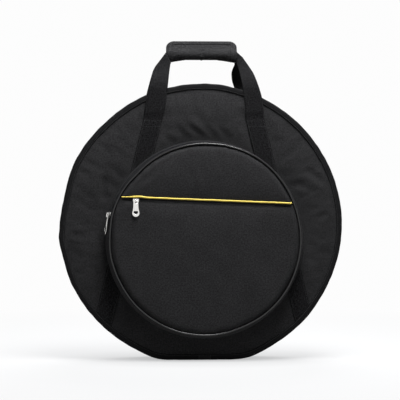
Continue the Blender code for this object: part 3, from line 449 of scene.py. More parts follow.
def inflate(points, faces, held, growth, cap):
    """Let cloth that is held at its seams swell, with Blender's cloth simulation. Lengths are mm."""
    points = np.asarray(points, float)
    mesh = bpy.data.meshes.new("swelling")
    mesh.from_pydata([tuple(p * MM) for p in points], [], [tuple(map(int, f)) for f in faces])
    obj = linked("swelling", mesh)
    group = obj.vertex_groups.new(name="held")
    group.add([int(i) for i in np.flatnonzero(held)], 1.0, "REPLACE")
    cloth = obj.modifiers.new("Cloth", "CLOTH")
    settings = cloth.settings
    settings.quality = 5
    settings.mass = 0.0005
    settings.tension_stiffness = settings.compression_stiffness = 8
    settings.shear_stiffness = 3
    settings.bending_stiffness = 0.02
    settings.vertex_group_mass = "held"
    settings.use_pressure = True
    settings.uniform_pressure_force = 4.0
    settings.shrink_min = -growth
    settings.effector_weights.gravity = 0
    cloth.collision_settings.use_collision = False
    scene = bpy.context.scene
    for number in range(1, CLOTH_FRAMES + 1):
        scene.frame_set(number)
    evaluated = obj.evaluated_get(bpy.context.evaluated_depsgraph_get())
    moved = np.zeros(len(points) * 3, np.float32)
    evaluated.data.vertices.foreach_get("co", moved)
    moved = moved.reshape(-1, 3).astype(float) / MM
    bpy.data.objects.remove(obj)
    scene.frame_set(1)
    travel = moved - points
    far = np.linalg.norm(travel, axis=1, keepdims=True)
    return points + travel * np.minimum(1, cap * np.tanh(far / cap) / np.maximum(far, 1e-9))


def swollen(flat, faces, held, cap, growth):
    """Height of each point of a flat sheet after it has swollen between the points that hold it."""
    points = np.column_stack((flat, np.zeros(len(flat))))
    return np.maximum(inflate(points, faces, held, growth, cap)[:, 2], -1.0)


def creased(flat, height, free, lines):
    """Add soft creases, fading out at the seams."""
    for x0, z0, x1, z1, depth, half in lines:
        a, d = np.array((x0, z0), float), np.array((x1 - x0, z1 - z0), float)
        along = ((flat - a) @ d) / (d @ d)
        side = (flat - a) @ np.array((-d[1], d[0])) / np.linalg.norm(d)
        window = np.exp(-((along - 0.5) / 0.42) ** 4)
        valley = np.exp(-((side / half) ** 2)) - 0.6 * np.exp(-(((np.abs(side) - 1.7 * half) / half) ** 2))
        height = height - depth * valley * window * free
    return height


def sheet_solid(flat, faces, front, back, side):
    """Closed solid between a front height and a back height, both distances from the middle plane."""
    count = len(flat)
    points = np.vstack([
        np.column_stack((flat[:, 0], side * front, flat[:, 1])),
        np.column_stack((flat[:, 0], side * back, flat[:, 1])),
    ])
    edges = dict.fromkeys((f[i], f[(i + 1) % len(f)]) for f in faces for i in range(len(f)))
    rim = [(a, b) for a, b in edges if (b, a) not in edges]
    every = faces + [tuple(i + count for i in reversed(f)) for f in faces]
    every += [(b, a, a + count, b + count) for a, b in rim]
    return drawn(points, every)


# ---- Rows of stitches and teeth, in Geometry Nodes ----


def knot(tree, kind, inputs=None, **settings):
    """Add a node; each input is a value, another node's output, or a node whose first output is meant."""
    made = tree.nodes.new(kind)
    for name, value in settings.items():
        setattr(made, name, value)
    for name, value in (inputs or {}).items():
        if isinstance(value, bpy.types.Node):
            value = value.outputs[0]
        if isinstance(value, bpy.types.NodeSocket):
            tree.links.new(value, made.inputs[name])
        else:
            made.inputs[name].default_value = value
    return made


def row_tree():
    """Small rounded bars set along a path: stitches lie along it and zip teeth across it."""
    tree = bpy.data.node_groups.new("Bars along a path", "GeometryNodeTree")
    face = tree.interface
    face.new_socket("Path", in_out="INPUT", socket_type="NodeSocketGeometry")
    for name, default in (
        ("Pitch", 0.0036), ("Length", 0.003), ("Width", 0.0007), ("Height", 0.0005), ("Turn", 0.0), ("Jitter", 0.05)
    ):
        face.new_socket(name, in_out="INPUT", socket_type="NodeSocketFloat").default_value = default
    face.new_socket("Seed", in_out="INPUT", socket_type="NodeSocketInt").default_value = 1
    face.new_socket("Material", in_out="INPUT", socket_type="NodeSocketMaterial")
    face.new_socket("Bars", in_out="OUTPUT", socket_type="NodeSocketGeometry")
    given = tree.nodes.new("NodeGroupInput").outputs
    curve = knot(tree, "GeometryNodeMeshToCurve", {"Mesh": given["Path"]})
    even = knot(tree, "GeometryNodeResampleCurve", {"Curve": curve, "Length": given["Pitch"]}, mode="LENGTH")
    bar = knot(tree, "GeometryNodeMeshUVSphere", {"Segments": 6, "Rings": 4, "Radius": 0.5})
    lying = knot(tree, "GeometryNodeTransform", {"Geometry": bar.outputs["Mesh"], "Rotation": (0, math.pi / 2, 0)})
    scale = knot(tree, "ShaderNodeCombineXYZ", {"X": given["Length"], "Y": given["Width"], "Z": given["Height"]})
    facing = knot(tree, "GeometryNodeInputNamedAttribute", {"Name": "facing"}, data_type="FLOAT_VECTOR")
    tangent = knot(tree, "GeometryNodeInputTangent")
    aligned = knot(
        tree, "FunctionNodeAxesToRotation", {"Primary Axis": facing, "Secondary Axis": tangent},
        primary_axis="Z", secondary_axis="X",
    )
    least = knot(tree, "ShaderNodeMath", {0: given["Jitter"], 1: -1.0}, operation="MULTIPLY")
    wobble = knot(tree, "FunctionNodeRandomValue", {2: least, 3: given["Jitter"], "Seed": given["Seed"]})
    turn = knot(tree, "ShaderNodeMath", {0: given["Turn"], 1: wobble.outputs[1]}, operation="ADD")
    euler = knot(tree, "ShaderNodeCombineXYZ", {"Z": turn})
    spin = knot(tree, "FunctionNodeEulerToRotation", {0: euler})
    final = knot(
        tree, "FunctionNodeRotateRotation", {"Rotation": aligned, "Rotate By": spin}, rotation_space="LOCAL",
    )
    put = knot(
        tree, "GeometryNodeInstanceOnPoints", {"Points": even, "Instance": lying, "Rotation": final, "Scale": scale},
    )
    real = knot(tree, "GeometryNodeRealizeInstances", {"Geometry": put})
    soft = knot(tree, "GeometryNodeSetShadeSmooth", {"Geometry": real})
    dressed = knot(tree, "GeometryNodeSetMaterial", {"Geometry": soft, "Material": given["Material"]})
    knot(tree, "NodeGroupOutput", {"Bars": dressed})
    return tree


def row(name, paths, on, material, slot, pitch, length, width, height, turn=0.0, jitter=0.05, *, seed):
    """Bars along paths of (point, facing) pairs drawn in mm; the bars' own sizes are mm too."""
    mesh = bpy.data.meshes.new("path")
    points, facings, edges = [], [], []
    for path in paths:
        edges += [(len(points) + i, len(points) + i + 1) for i in range(len(path) - 1)]
        points += [tuple(PLACE @ Vector(p)) for p, _ in path]
        facings += [tuple(f) for _, f in path]
    mesh.from_pydata(points, edges, [])
    facing = mesh.attributes.new("facing", "FLOAT_VECTOR", "POINT")
    facing.data.foreach_set("vector", np.array(facings, np.float32).ravel())
    guide = linked("path", mesh)
    tree = bpy.data.node_groups.get("Bars along a path") or row_tree()
    modifier = guide.modifiers.new("Row", "NODES")
    modifier.node_group = tree
    sockets = {item.name: item.identifier for item in tree.interface.items_tree if item.in_out == "INPUT"}
    for label, value in (
        ("Pitch", pitch * MM), ("Length", length * MM), ("Width", width * MM), ("Height", height * MM),
        ("Turn", float(turn)), ("Jitter", float(jitter)), ("Seed", seed), ("Material", bpy.data.materials[material]),
    ):
        modifier[sockets[label]] = value
    evaluated = guide.evaluated_get(bpy.context.evaluated_depsgraph_get())
    made = bpy.data.meshes.new_from_object(evaluated)
    bpy.data.objects.remove(guide)
    if not made.polygons:
        raise RuntimeError(name + " came out empty")
    made.name = name
    obj = linked(name, made)
    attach(obj, on)
    return obj


def stitches(name, paths, on, slot, pitch=3.6, length=2.9, width=0.7, height=0.5, seed=1):
    """Rows of thread."""
    return row(name, paths, on, "sewing_thread", slot, pitch, length, width, height, seed=seed)


def ring_path(centre, r, y, start, end, facing_y=0.0, press=False):
    """Path round a front to back axis; it faces outward, or along y when facing_y is set."""
    steps = max(8, round(abs(end - start) * 1.2))
    path = []
    for i in range(steps + 1):
        a = math.radians(start + (end - start) * i / steps)
        out = r + lump(a, y) if press else r
        z = centre.z + out * math.cos(a)
        outward = Vector((math.sin(a) * (facing_y == 0), facing_y, math.cos(a) * (facing_y == 0)))
        path.append(((centre.x + out * math.sin(a), y, standing(z, r) if press else z), outward.normalized()))
    return path


def flat_path(points, y, side=-1):
    """Path of (x, z) points on an upright face."""
    return [((x, y, z), (0, side, 0)) for x, z in points]


# ---- Materials ----


def begun(name):
    """Tree of a new material, and its coordinates."""
    material = bpy.data.materials.get(name) or bpy.data.materials.new(name)
    material.use_nodes = True
    tree = material.node_tree
    tree.nodes.clear()
    return tree, knot(tree, "ShaderNodeTexCoord")


def ended(tree, inputs):
    """Surface of a material."""
    shader = knot(tree, "ShaderNodeBsdfPrincipled", inputs)
    knot(tree, "ShaderNodeOutputMaterial", {"Surface": shader})


def tinted(tree, colour, shade, low=0.0, high=1.0, *, dark, pale):
    """A colour made darker or paler where a pattern's value runs from low to high."""
    share = knot(
        tree, "ShaderNodeMapRange",
        {"Value": shade, "From Min": low, "From Max": high, "To Min": dark, "To Max": pale},
    )
    return knot(tree, "ShaderNodeVectorMath", {0: tuple(colour), "Scale": share}, operation="SCALE")


def bands(tree, coords, pitch, direction, profile="SIN", distortion=0.0):
    """Height of threads or ribs with a real pitch in metres along X, Y or both."""
    scale = math.pi / 5 / pitch if direction == "DIAGONAL" else math.pi / 10 / pitch
    return knot(
        tree, "ShaderNodeTexWave", {"Vector": coords, "Scale": scale, "Distortion": distortion, "Detail": 1.0},
        bands_direction=direction, wave_profile=profile,
    ).outputs["Fac"]


def plain_weave(tree, coords, pitch):
    """Height of threads that pass over and under each other."""
    over = knot(tree, "ShaderNodeTexChecker", {"Vector": coords, "Scale": 1 / pitch})
    warp, weft = (bands(tree, coords, pitch, way) for way in "XY")
    return knot(tree, "ShaderNodeMix", {"Factor": over.outputs["Fac"], "A": warp, "B": weft}, data_type="FLOAT")


def twill_cord(tree, coords):
    """Height of a 1.8 mm twill over 0.9 mm cords."""
    twill = bands(tree, coords, 0.0018, "DIAGONAL", "TRI", 0.15)
    cord = bands(tree, coords, 0.0009, "X")
    return knot(tree, "ShaderNodeMix", {"Factor": 0.35, "A": twill, "B": cord}, data_type="FLOAT")


def grained(tree, coords, scale):
    """Height of moulded vinyl's fine grain."""
    return knot(tree, "ShaderNodeTexNoise", {"Vector": coords, "Scale": scale, "Detail": 3.0})


def cloth(name, colour, weave, depth, painted_weave_shade, mottle, patch, roughness, specular, uneven=0.1, sheen=0.0, spread=0.5):
    """Cloth with painted shade in its threads' gaps and painted light on their tops, slubs and broad patches; weave
    gives the threads' height.
    """
    tree, at = begun(name)
    uv = at.outputs["UV"]
    height = weave(tree, uv)
    patches = knot(tree, "ShaderNodeTexNoise", {"Vector": uv, "Scale": 1 / patch, "Detail": 4.0, "Roughness": 0.6})
    fuzz = knot(tree, "ShaderNodeTexNoise", {"Vector": uv, "Scale": 900.0, "Detail": 2.0})
    slub = knot(tree, "ShaderNodeTexNoise", {"Vector": uv, "Scale": 330.0, "Detail": 1.0})
    shade = 1.0
    # The weave's height paints shade into the gaps between threads and light onto their tops; the other patterns vary
    # the tone at random
    for value, change, low, high in (
        (height, painted_weave_shade, 0.0, 1.0), (patches, mottle, 0.25, 0.75), (fuzz, 0.15, 0.3, 0.7), (slub, uneven, 0.3, 0.7)
    ):
        part = knot(
            tree, "ShaderNodeMapRange",
            {"Value": value, "From Min": low, "From Max": high, "To Min": 1 - change, "To Max": 1 + change},
        )
        shade = knot(tree, "ShaderNodeMath", {0: shade, 1: part}, operation="MULTIPLY")
    rough = knot(tree, "ShaderNodeBump", {"Height": fuzz, "Distance": depth * 0.4, "Strength": 0.5})
    bump = knot(tree, "ShaderNodeBump", {"Height": height, "Distance": depth, "Strength": 1.0, "Normal": rough})
    ended(tree, {
        "Base Color": knot(tree, "ShaderNodeVectorMath", {0: tuple(colour), "Scale": shade}, operation="SCALE"),
        "Normal": bump, "Roughness": roughness, "Specular IOR Level": specular,
        "Sheen Weight": sheen, "Sheen Roughness": spread,
    })


def soft_materials():
    """Cloths, tapes, webbing and vinyl."""
    colours = bpy.context.scene.bag_colours

    # Coated 600 denier polyester; its 0.6 mm threads are drawn at 1.1 mm so that they show
    cloth("woven_polyester", colours.shell, lambda tree, uv: plain_weave(tree, uv, 0.0011), depth=0.00018,
          painted_weave_shade=0.36, mottle=0.12, patch=0.04, roughness=0.75, specular=0.03, uneven=0.32, sheen=0.02)

    # Polyester binding tape with fine cross ribs
    cloth("grosgrain_binding", colours.trim, lambda tree, uv: bands(tree, uv, 0.0012, "X"), depth=0.00022,
          painted_weave_shade=0.2, mottle=0.12, patch=0.03, roughness=0.7, specular=0.04, sheen=0.02, spread=0.45)

    # Polypropylene twill webbing; the 0.9 mm twill is drawn at 1.8 mm so that it shows
    cloth("twill_webbing", colours.webbing, twill_cord, depth=0.0004,
          painted_weave_shade=0.6, mottle=0.1, patch=0.025, roughness=0.8, specular=0.03, uneven=0.8, sheen=0.02, spread=0.4)

    # Zip tape, a tight herringbone
    cloth("zip_tape_cloth", colours.trim, lambda tree, uv: bands(tree, uv, 0.0008, "DIAGONAL", "TRI"), depth=0.0001,
          painted_weave_shade=0.2, mottle=0.06, patch=0.02, roughness=0.75, specular=0.04, sheen=0.02)

    # Ribbed tape of the pocket's reversed zip, whose teeth show through as ribs
    cloth("ribbed_zip_tape", srgb("#131315"), lambda tree, uv: bands(tree, uv, 0.0021, "X"), depth=0.0004,
          painted_weave_shade=0.5, mottle=0.1, patch=0.02, roughness=0.5, specular=0.2)

    # Nylon taffeta of the quilted lining and the inner bag
    cloth("taffeta_lining", colours.lining, lambda tree, uv: plain_weave(tree, uv, 0.0007), depth=0.00006,
          painted_weave_shade=0.1, mottle=0.1, patch=0.04, roughness=0.45, specular=0.5, sheen=0.1, spread=0.4)

    # Hook and loop: short bristles and curled pile
    cloth("hook_and_loop_pile", colours.trim,
          lambda tree, uv: knot(tree, "ShaderNodeTexVoronoi", {"Vector": uv, "Scale": 650.0}, feature="F1"),
          depth=0.0006, painted_weave_shade=0.5, mottle=0.1, patch=0.01, roughness=0.9, specular=0.2, sheen=0.5, spread=0.6)

    # Black vinyl piping round the pocket
    cloth("vinyl_piping", srgb("#101011"), lambda tree, uv: grained(tree, uv, 500.0), depth=0.00008,
          painted_weave_shade=0.1, mottle=0.15, patch=0.02, roughness=0.27, specular=0.45)

    # Yellow vinyl piping above the face zip
    cloth("yellow_vinyl_piping", colours.line, lambda tree, uv: grained(tree, uv, 420.0), depth=0.0001,
          painted_weave_shade=0.08, mottle=0.1, patch=0.015, roughness=0.42, specular=0.3)


def hard_materials():
    """Zip coil, thread and metal."""
    # Nylon zip coil
    tree, at = begun("nylon_coil")
    scuff = knot(tree, "ShaderNodeTexNoise", {"Vector": at.outputs["Object"], "Scale": 300.0, "Detail": 3.0})
    ended(tree, {
        "Base Color": tinted(tree, srgb("#1c1c1e"), scuff, 0.3, 0.7, dark=0.75, pale=1.3), "Specular IOR Level": 0.15,
        "Roughness": knot(tree, "ShaderNodeMapRange", {"Value": scuff, "To Min": 0.45, "To Max": 0.65}),
    })

    # Polyester sewing thread
    tree, at = begun("sewing_thread")
    ply = knot(tree, "ShaderNodeTexNoise", {"Vector": at.outputs["Object"], "Scale": 1500.0, "Detail": 2.0})
    ended(tree, {
        "Base Color": tinted(tree, srgb("#1b1b1c"), ply, 0.3, 0.7, dark=0.6, pale=1.5),
        "Roughness": 0.55, "Sheen Weight": 0.05, "Specular IOR Level": 0.3,
    })

    # Nickel plated zinc, polished, with fine rubs
    tree, at = begun("polished_nickel")
    place = at.outputs["Object"]
    rub = knot(tree, "ShaderNodeTexNoise", {"Vector": place, "Scale": 160.0, "Detail": 5.0, "Roughness": 0.7})
    fine = knot(tree, "ShaderNodeTexNoise", {"Vector": place, "Scale": 2200.0, "Detail": 2.0})
    ended(tree, {
        "Base Color": tinted(tree, srgb("#e9e8e5"), rub, dark=0.9, pale=1.05), "Metallic": 1.0,
        "Roughness": knot(
            tree, "ShaderNodeMapRange",
            {"Value": rub, "From Min": 0.3, "From Max": 0.7, "To Min": 0.1, "To Max": 0.3},
        ),
        "Normal": knot(tree, "ShaderNodeBump", {"Height": fine, "Distance": 0.00002, "Strength": 0.4}),
    })


# ---- The bag's pieces ----


def polar(centre, x, z):
    """Radius and angle of points round a front to back axis."""
    return np.hypot(x - centre.x, z - centre.z), np.arctan2(x - centre.x, z - centre.z)


def arc_points(centre, r, start, end, step=3.0):
    """(x, z) points of an arc from one angle to another."""
    count = max(3, round(abs(end - start) / step))
    turns = [math.radians(start + (end - start) * i / count) for i in range(count + 1)]
    return [(centre.x + r * math.sin(a), centre.z + r * math.cos(a)) for a in turns]


def pressed(points, side):
    """Give a round outline of the case its lumps and its flat foot."""
    out = []
    for x, z in points:
        r, a = polar(CASE, x, z)
        wide = r + lump(a, side * HALF_DEPTH)
        out.append((CASE.x + wide * math.sin(a), standing(CASE.z + wide * math.cos(a), r)))
    return out


def strap_ends(hand):
    """Inner and outer edge of a sewn strap from its top down to the rim binding."""
    slope = hand * math.radians(STRAP_SPLAY)
    along = Vector((math.sin(slope), -math.cos(slope)))
    edges = []
    for way in (-hand, hand):
        x, z = POCKET.x + hand * STRAP_X + way * STRAP_LEVEL_HALF, STRAP_TOP - CASE.z
        half = x * along.x + z * along.y
        run = -half + math.sqrt(half**2 - (x**2 + z**2 - (BINDING_R - 0.3) ** 2))
        edges.append(((x, STRAP_TOP), (x + run * along.x, STRAP_TOP + run * along.y)))
    return edges


def in_strap(flat):
    """Where a point of a panel lies under a sewn strap."""
    inside = np.zeros(len(flat), bool)
    for hand in (-1, 1):
        (a, b), _ = strap_ends(hand)
        d = np.array(b) - np.array(a)
        normal = np.array((-d[1], d[0])) / np.linalg.norm(d)
        across = (flat - np.array(a)) @ normal * hand
        inside |= (across > -0.5) & (across < WEBBING + 0.5) & (flat[:, 1] < STRAP_TOP + 1)
    return inside


def padded_panel(label, side, on):
    """Cover and foam as one pad that swells between the binding, the straps and the pocket."""
    shape = bpy.context.scene.bag_shape
    seams = [pressed(arc_points(CASE, PAD_R + 0.8, 0, 360), side)]
    for hand in (-1, 1):
        seams += [list(edge) for edge in strap_ends(hand)]
    if side < 0:
        seams.append(arc_points(POCKET, WALL_BASE_R + 1.5, 0, 360))
    flat, faces = cut_sheet(pressed(arc_points(CASE, COVER_R, *ROUND), side), seams, shape.cloth_spacing / MM)
    r, turns = polar(CASE, *flat.T)
    r -= [lump(a, side * HALF_DEPTH) for a in turns]
    low = flat[:, 1] < RIM - PAD_R + 1.0
    held = (r > PAD_R) | low | in_strap(flat)
    if side < 0:
        held |= polar(POCKET, *flat.T)[0] < WALL_BASE_R + 2.5
    height = swollen(flat, faces, held, shape.panel_swell / MM, growth=0.006)
    height = np.where(held, 0, height)
    if side < 0:
        height = creased(flat, height, np.clip(height / 2.5, 0, 1), CREASES)
    back = np.where((r > PAD_R + 1) | low, COVER_BACK_Y, FOAM_BACK_Y)
    mesh = sheet_solid(flat, faces, COVER_Y + height, back, side)
    nodes = (label + "_panel_cover", label + "_panel_foam")
    pad = piece(label + "_panel_pad", mesh, on, *SHELL, nodes, sharp=70)


def quilted_lining(label, side, on):
    """Lining quilted in diamonds, swollen towards the inside of the case."""
    flat, faces = cut_sheet(pressed(arc_points(CASE, PAD_R - 3, *ROUND), side), [], step=6.0)
    u, v = (flat[:, 0] + flat[:, 1]) / QUILT, (flat[:, 0] - flat[:, 1]) / QUILT
    edge = np.clip((PAD_R - polar(CASE, *flat.T)[0]) / 14, 0, 1)
    puff = QUILT_PUFF * (np.abs(np.sin(math.pi * u) * np.sin(math.pi * v)) ** 0.45) * edge
    mesh = sheet_solid(flat, faces, np.full(len(flat), LINING_Y), LINING_BACK_Y - puff, side)
    lining = piece(label + "_quilted_lining", mesh, on, *LINING, (label + "_panel_lining",), sharp=80)


def rim_binding(label, side, on, seed):
    """Tape folded round the panel's edge, slightly uneven where it is sewn."""
    section = [
        (278.0, 41.4), (278.5, 42.0), (281.0, 42.3), (285.0, 42.2), (288.0, 41.7), (289.5, 40.9), (290.0, 39.8),
        (289.5, 38.7), (288.0, 37.9), (284.0, 37.6), (279.0, 37.6), (278.0, 37.9), (278.2, 38.6), (284.0, 38.7),
        (286.4, 38.9), (286.9, 39.8), (286.4, 40.7), (284.0, 41.0), (278.2, 41.0),
    ]
    profile = [(r, side * d) for r, d in section]
    mesh = ring(profile, CASE, steps=480, shape=ruffle(size=0.7, length=16.0, seed=seed), press=True)
    piece(label + "_edge_binding", mesh, on, "grosgrain_binding", "binding_tape", (label + "_rim_binding",))
    pitch = bpy.context.scene.bag_shape.stitch_pitch / MM
    path = ring_path(CASE, 280.2, side * 42.3, 0, 360, facing_y=side, press=True)
    stitches(label + "_binding_stitches", [path], on, "binding_tape", pitch, width=0.8, height=0.6, seed=seed)


def soft_tab(size, at, turn=None, swell=0.3):
    """Small piece of doubled tape with soft edges."""
    bm = bmesh.new()
    bmesh.ops.create_cube(bm, size=1)
    bmesh.ops.subdivide_edges(bm, edges=bm.edges, cuts=5, use_grid_fill=True)
    for v in bm.verts:
        x, y, z = (2 * c for c in v.co)
        pinch = 1 - 0.12 * max(abs(x), abs(z)) ** 6
        v.co = Vector((x / 2 * size[0], y / 2 * size[1] * (pinch + swell * (1 - x * x) * (1 - z * z)), z / 2 * size[2]))
    bmesh.ops.bevel(bm, geom=[e for e in bm.edges if e.calc_face_angle(0) > 1], offset=0.25, segments=2, affect="EDGES")
    bm.transform(Matrix.Translation(at) @ (turn or Matrix.Identity(4)))
    bm.verts.index_update()
    points, faces = [v.co.copy() for v in bm.verts], [[v.index for v in face.verts] for face in bm.faces]
    bm.free()
    return drawn(points, faces)


def case_shell():
    """Padded panels, their bindings and the join of the front binding."""
    for label, side, on, seed in (("front", -1, "lid", 3), ("rear", 1, "case", 11)):
        padded_panel(label, side, on)
        quilted_lining(label, side, on)
        rim_binding(label, side, on, seed)
    tab = soft_tab(size=(26.0, 0.9, 10.6), at=Vector((7.3, -42.85, 6.0)))
    piece("binding_join", tab, "lid", "woven_polyester", "binding_tape", ("binding_join_tab",))
    lines = [flat_path([(x, 1.6), (x, 10.6)], -43.3) for x in (-4.2, 18.8)]
    stitches("binding_join_stitches", lines, "lid", "binding_tape", 3.0, 2.4)


def case_side():
    """Side wall of the case, and the cloth that joins its foot to the lid."""
    level = lambda y: GUSSET_R
    gap = SLOT / 2 + MAIN_TAPE + SEAM
    for name, y0, y1, on, node, seed in (
        ("lid_side", -GUSSET_EDGE_Y, ZIP_Y - gap, "lid", "lid_skirt", 2),
        ("case_side", ZIP_Y + gap, GUSSET_EDGE_Y, "case", "gusset_wall", 5),
    ):
        profile = wall_profile(level, y0, y1, GUSSET_THICK, swell=1.3)
        waved = ruffle(size=1.1, length=24.0, seed=seed)
        mesh = ring(profile, CASE, -ZIP_END, ZIP_END, steps=300, shape=waved, press=True)
        piece(name, mesh, on, *SHELL, (node,))
    foot = (BASE_ANGLE + 0.05, 360 - BASE_ANGLE - 0.05)
    profile = wall_profile(level, -GUSSET_EDGE_Y, GUSSET_EDGE_Y, GUSSET_THICK, swell=0.6, steps=12)
    waved = ruffle(size=0.6, length=24.0, seed=8)
    mesh = ring(profile, CASE, *foot, steps=80, shape=waved, press=True)
    piece("case_base", mesh, "case", *SHELL, ("gusset_base",))
    # Thin strip from the foot of the side wall out to the rim binding, 3.4 mm further out and 4.2 mm forward
    strip = [(280.6 + 3.4 * i / 10, -36.2 - 4.2 * i / 10) for i in range(11)]
    strip += [(r - 0.5, y - 0.3) for r, y in reversed(strip)]
    mesh = ring(strip, CASE, *foot, steps=100, press=True)
    piece("hinge_cloth", mesh, BASE_HINGE, *SHELL, sharp=80)


def main_zip():
    """Zip round the case: two tapes with their coils, and a tab at each end."""
    for name, hand, on, node in (
        ("lid_zip_tape", -1, "lid", "main_zip_front_tape"), ("case_zip_tape", 1, "case", "main_zip_rear_tape")
    ):
        near, far = ZIP_Y + hand * SLOT / 2, ZIP_Y + hand * (SLOT / 2 + MAIN_TAPE)
        profile = wall_profile(lambda y: TAPE_R, *sorted((near, far)), TAPE_THICK, swell=0.15)
        mesh = ring(profile, CASE, -ZIP_END, ZIP_END, steps=300, press=True)
        piece(name, mesh, on, "zip_tape_cloth", "zip_tape", (node,))
        coil = name.replace("tape", "coil")
        zip_coil(coil, CASE, TAPE_R + COIL_RISE, ZIP_Y, hand, -ZIP_END + 0.3, ZIP_END - 0.3, on)
        seam = ring_path(CASE, TAPE_R + 0.15, ZIP_Y + hand * (SLOT / 2 + 7.6), -ZIP_END + 1, ZIP_END - 1)
        stitches(name + "_stitches", [seam], on, "zip_tape", seed=4)
    past = BASE_ANGLE + math.degrees(10 / GUSSET_R) + 0.05
    end_tabs("main", CASE, GUSSET_R, ZIP_Y, past, 0, (19.6, 1.0, 22.4), "case")


def end_tabs(label, centre, r, y, angle, lean, measures, on):
    """Tabs of doubled tape over both ends of a round zip."""
    for name, hand in (("left", -1), ("right", 1)):
        a = math.radians(hand * angle)
        at = centre + Vector((math.sin(a), 0, math.cos(a))) * (r + 0.85) + Vector((0, y, 0))
        turn = Matrix.Rotation(a, 4, "Y") @ Matrix.Rotation(math.radians(90) + lean, 4, "X")
        node = f"{label}_zip_end_tab_{name}"
        tab = soft_tab(measures, at, turn, swell=0.0)
        piece(f"{label}_zip_end_{name}", tab, on, *WEB, (node,))


def zip_teeth(name, path, on, pitch, reach, width, height, seed):
    """Leaning coil teeth along a path."""
    lean = math.radians(80)
    return row(name, [path], on, "nylon_coil", "zip_tape", pitch, reach, width, height, lean, jitter=0.02, seed=seed)


def zip_coil(name, centre, r, y, hand, start, end, on, pitch=None, reach=3.0):
    """Half of a zip's coil: leaning teeth whose tips stop just short of the middle."""
    pitch = pitch or bpy.context.scene.bag_shape.tooth_pitch / MM
    shift = math.degrees(pitch / 2 / r) * (hand > 0)
    path = ring_path(centre, r, y + hand * (0.45 + reach / 2), start + shift, end + shift - math.degrees(pitch / r))
    zip_teeth(name, path, on, pitch, reach, width=pitch * 0.62, height=1.5, seed=6)


def pocket_wall_radius(y):
    """Radius of the pocket's flaring side, which bends in a little behind its zip."""
    share = (WALL_FRONT_Y + y) / (WALL_FRONT_Y - WALL_BASE_Y)
    return PIPING_R + (WALL_BASE_R - PIPING_R) * share - 2.4 * ease((y + 54) / 8)


def slack_ruffle(size, length, seed):
    """Small waves along the pocket's side on top of its slack."""
    waved = ruffle(size, length, seed)

    def shape(a, r, y):
        r, y = waved(a, r, y)
        return r + slack(a, y), y

    return shape


def pocket_side():
    """Flaring side of the pocket, its piping, its zip and the zip's ends."""
    limit = FOLD_ANGLE - 0.05
    gap = SLOT / 2 + POCKET_TAPE + SEAM
    for name, y0, y1, start, end, on, node, swell in (
        ("pocket_side_lower", -WALL_FRONT_Y, -WALL_BASE_Y, limit + 0.1, 359.9 - limit, "lid", "pocket_wall_lower", 1.4),
        ("pocket_side_upper", POCKET_ZIP_Y + gap, -WALL_BASE_Y, -limit, limit, "lid", "pocket_wall_upper", 0.5),
        ("pocket_side_band", -WALL_FRONT_Y, POCKET_ZIP_Y - gap, -limit, limit, "pocket_flap", "flap_side_band", 0.3),
    ):
        profile = wall_profile(pocket_wall_radius, y0, y1, WALL_THICK, swell)
        mesh = ring(profile, POCKET, start, end, steps=220, shape=slack_ruffle(0.5 * swell, 20.0, seed=y0))
        cloth = ("grosgrain_binding", "binding_tape") if "band" in name else SHELL
        piece(name, mesh, on, *cloth, (node,))
    tape_radius = lambda y: pocket_wall_radius(y) - 0.5
    for name, hand, on, node in (
        ("pocket_zip_tape_front", -1, "pocket_flap", "pocket_zip_front_tape"),
        ("pocket_zip_tape_rear", 1, "lid", "pocket_zip_rear_tape"),
    ):
        near, far = POCKET_ZIP_Y + hand * SLOT / 2, POCKET_ZIP_Y + hand * (SLOT / 2 + POCKET_TAPE)
        profile = wall_profile(tape_radius, *sorted((near, far)), TAPE_THICK, swell=0.1)
        mesh = ring(profile, POCKET, -limit, limit, steps=200, shape=slack_ruffle(0.0, 20.0, seed=0))
        piece(name, mesh, on, "ribbed_zip_tape", "zip_tape", (node,))
        coil_r = tape_radius(POCKET_ZIP_Y + hand * 2) + COIL_RISE
        coil = name.replace("tape", "coil")
        zip_coil(coil, POCKET, coil_r, POCKET_ZIP_Y, hand, -limit + 0.4, limit - 0.4, on, pitch=1.9, reach=2.6)
    profile = circle(PIPING_R, -PIPING_Y, PIPING)
    mesh = ring(profile, POCKET, steps=420, shape=slack_ruffle(0.35, 12.0, seed=21))
    nodes = ("pocket_piping_lower", "pocket_piping_upper")
    piece("pocket_edge_piping", mesh, POCKET_HINGE, "vinyl_piping", "black_piping", nodes)
    past = FOLD_ANGLE + math.degrees(5 / WALL_BASE_R) + 0.08
    end_tabs("pocket", POCKET, pocket_wall_radius(POCKET_ZIP_Y), POCKET_ZIP_Y, past, FLARE, (9.8, 1.0, 14.0), "lid")


def line_point(along, up):
    """(x, z) of a point on the pocket's face, along and above the yellow line."""
    at = LINE + LINE_ALONG * along + LINE_UP * up
    return at.x, at.z


def chord_half(up):
    """Half length of the face's chord at a height above the line."""
    return math.sqrt(FACE_R**2 - (LINE_RISE + up) ** 2)


def face_turns(half, up):
    """Angles in degrees, round the pocket, of both ends of a line above or below the yellow one."""
    return [math.degrees(polar(POCKET, *line_point(along, up))[1]) for along in (-half, half)]


def face_arc(start, end):
    """(x, z) points along the face's edge, with its slack."""
    out = []
    for x, z in arc_points(POCKET, FACE_R, start, end, 1.8):
        a = polar(POCKET, x, z)[1]
        out.append((x + slack(a, -FACE_Y) * math.sin(a), z + slack(a, -FACE_Y) * math.cos(a)))
    return out


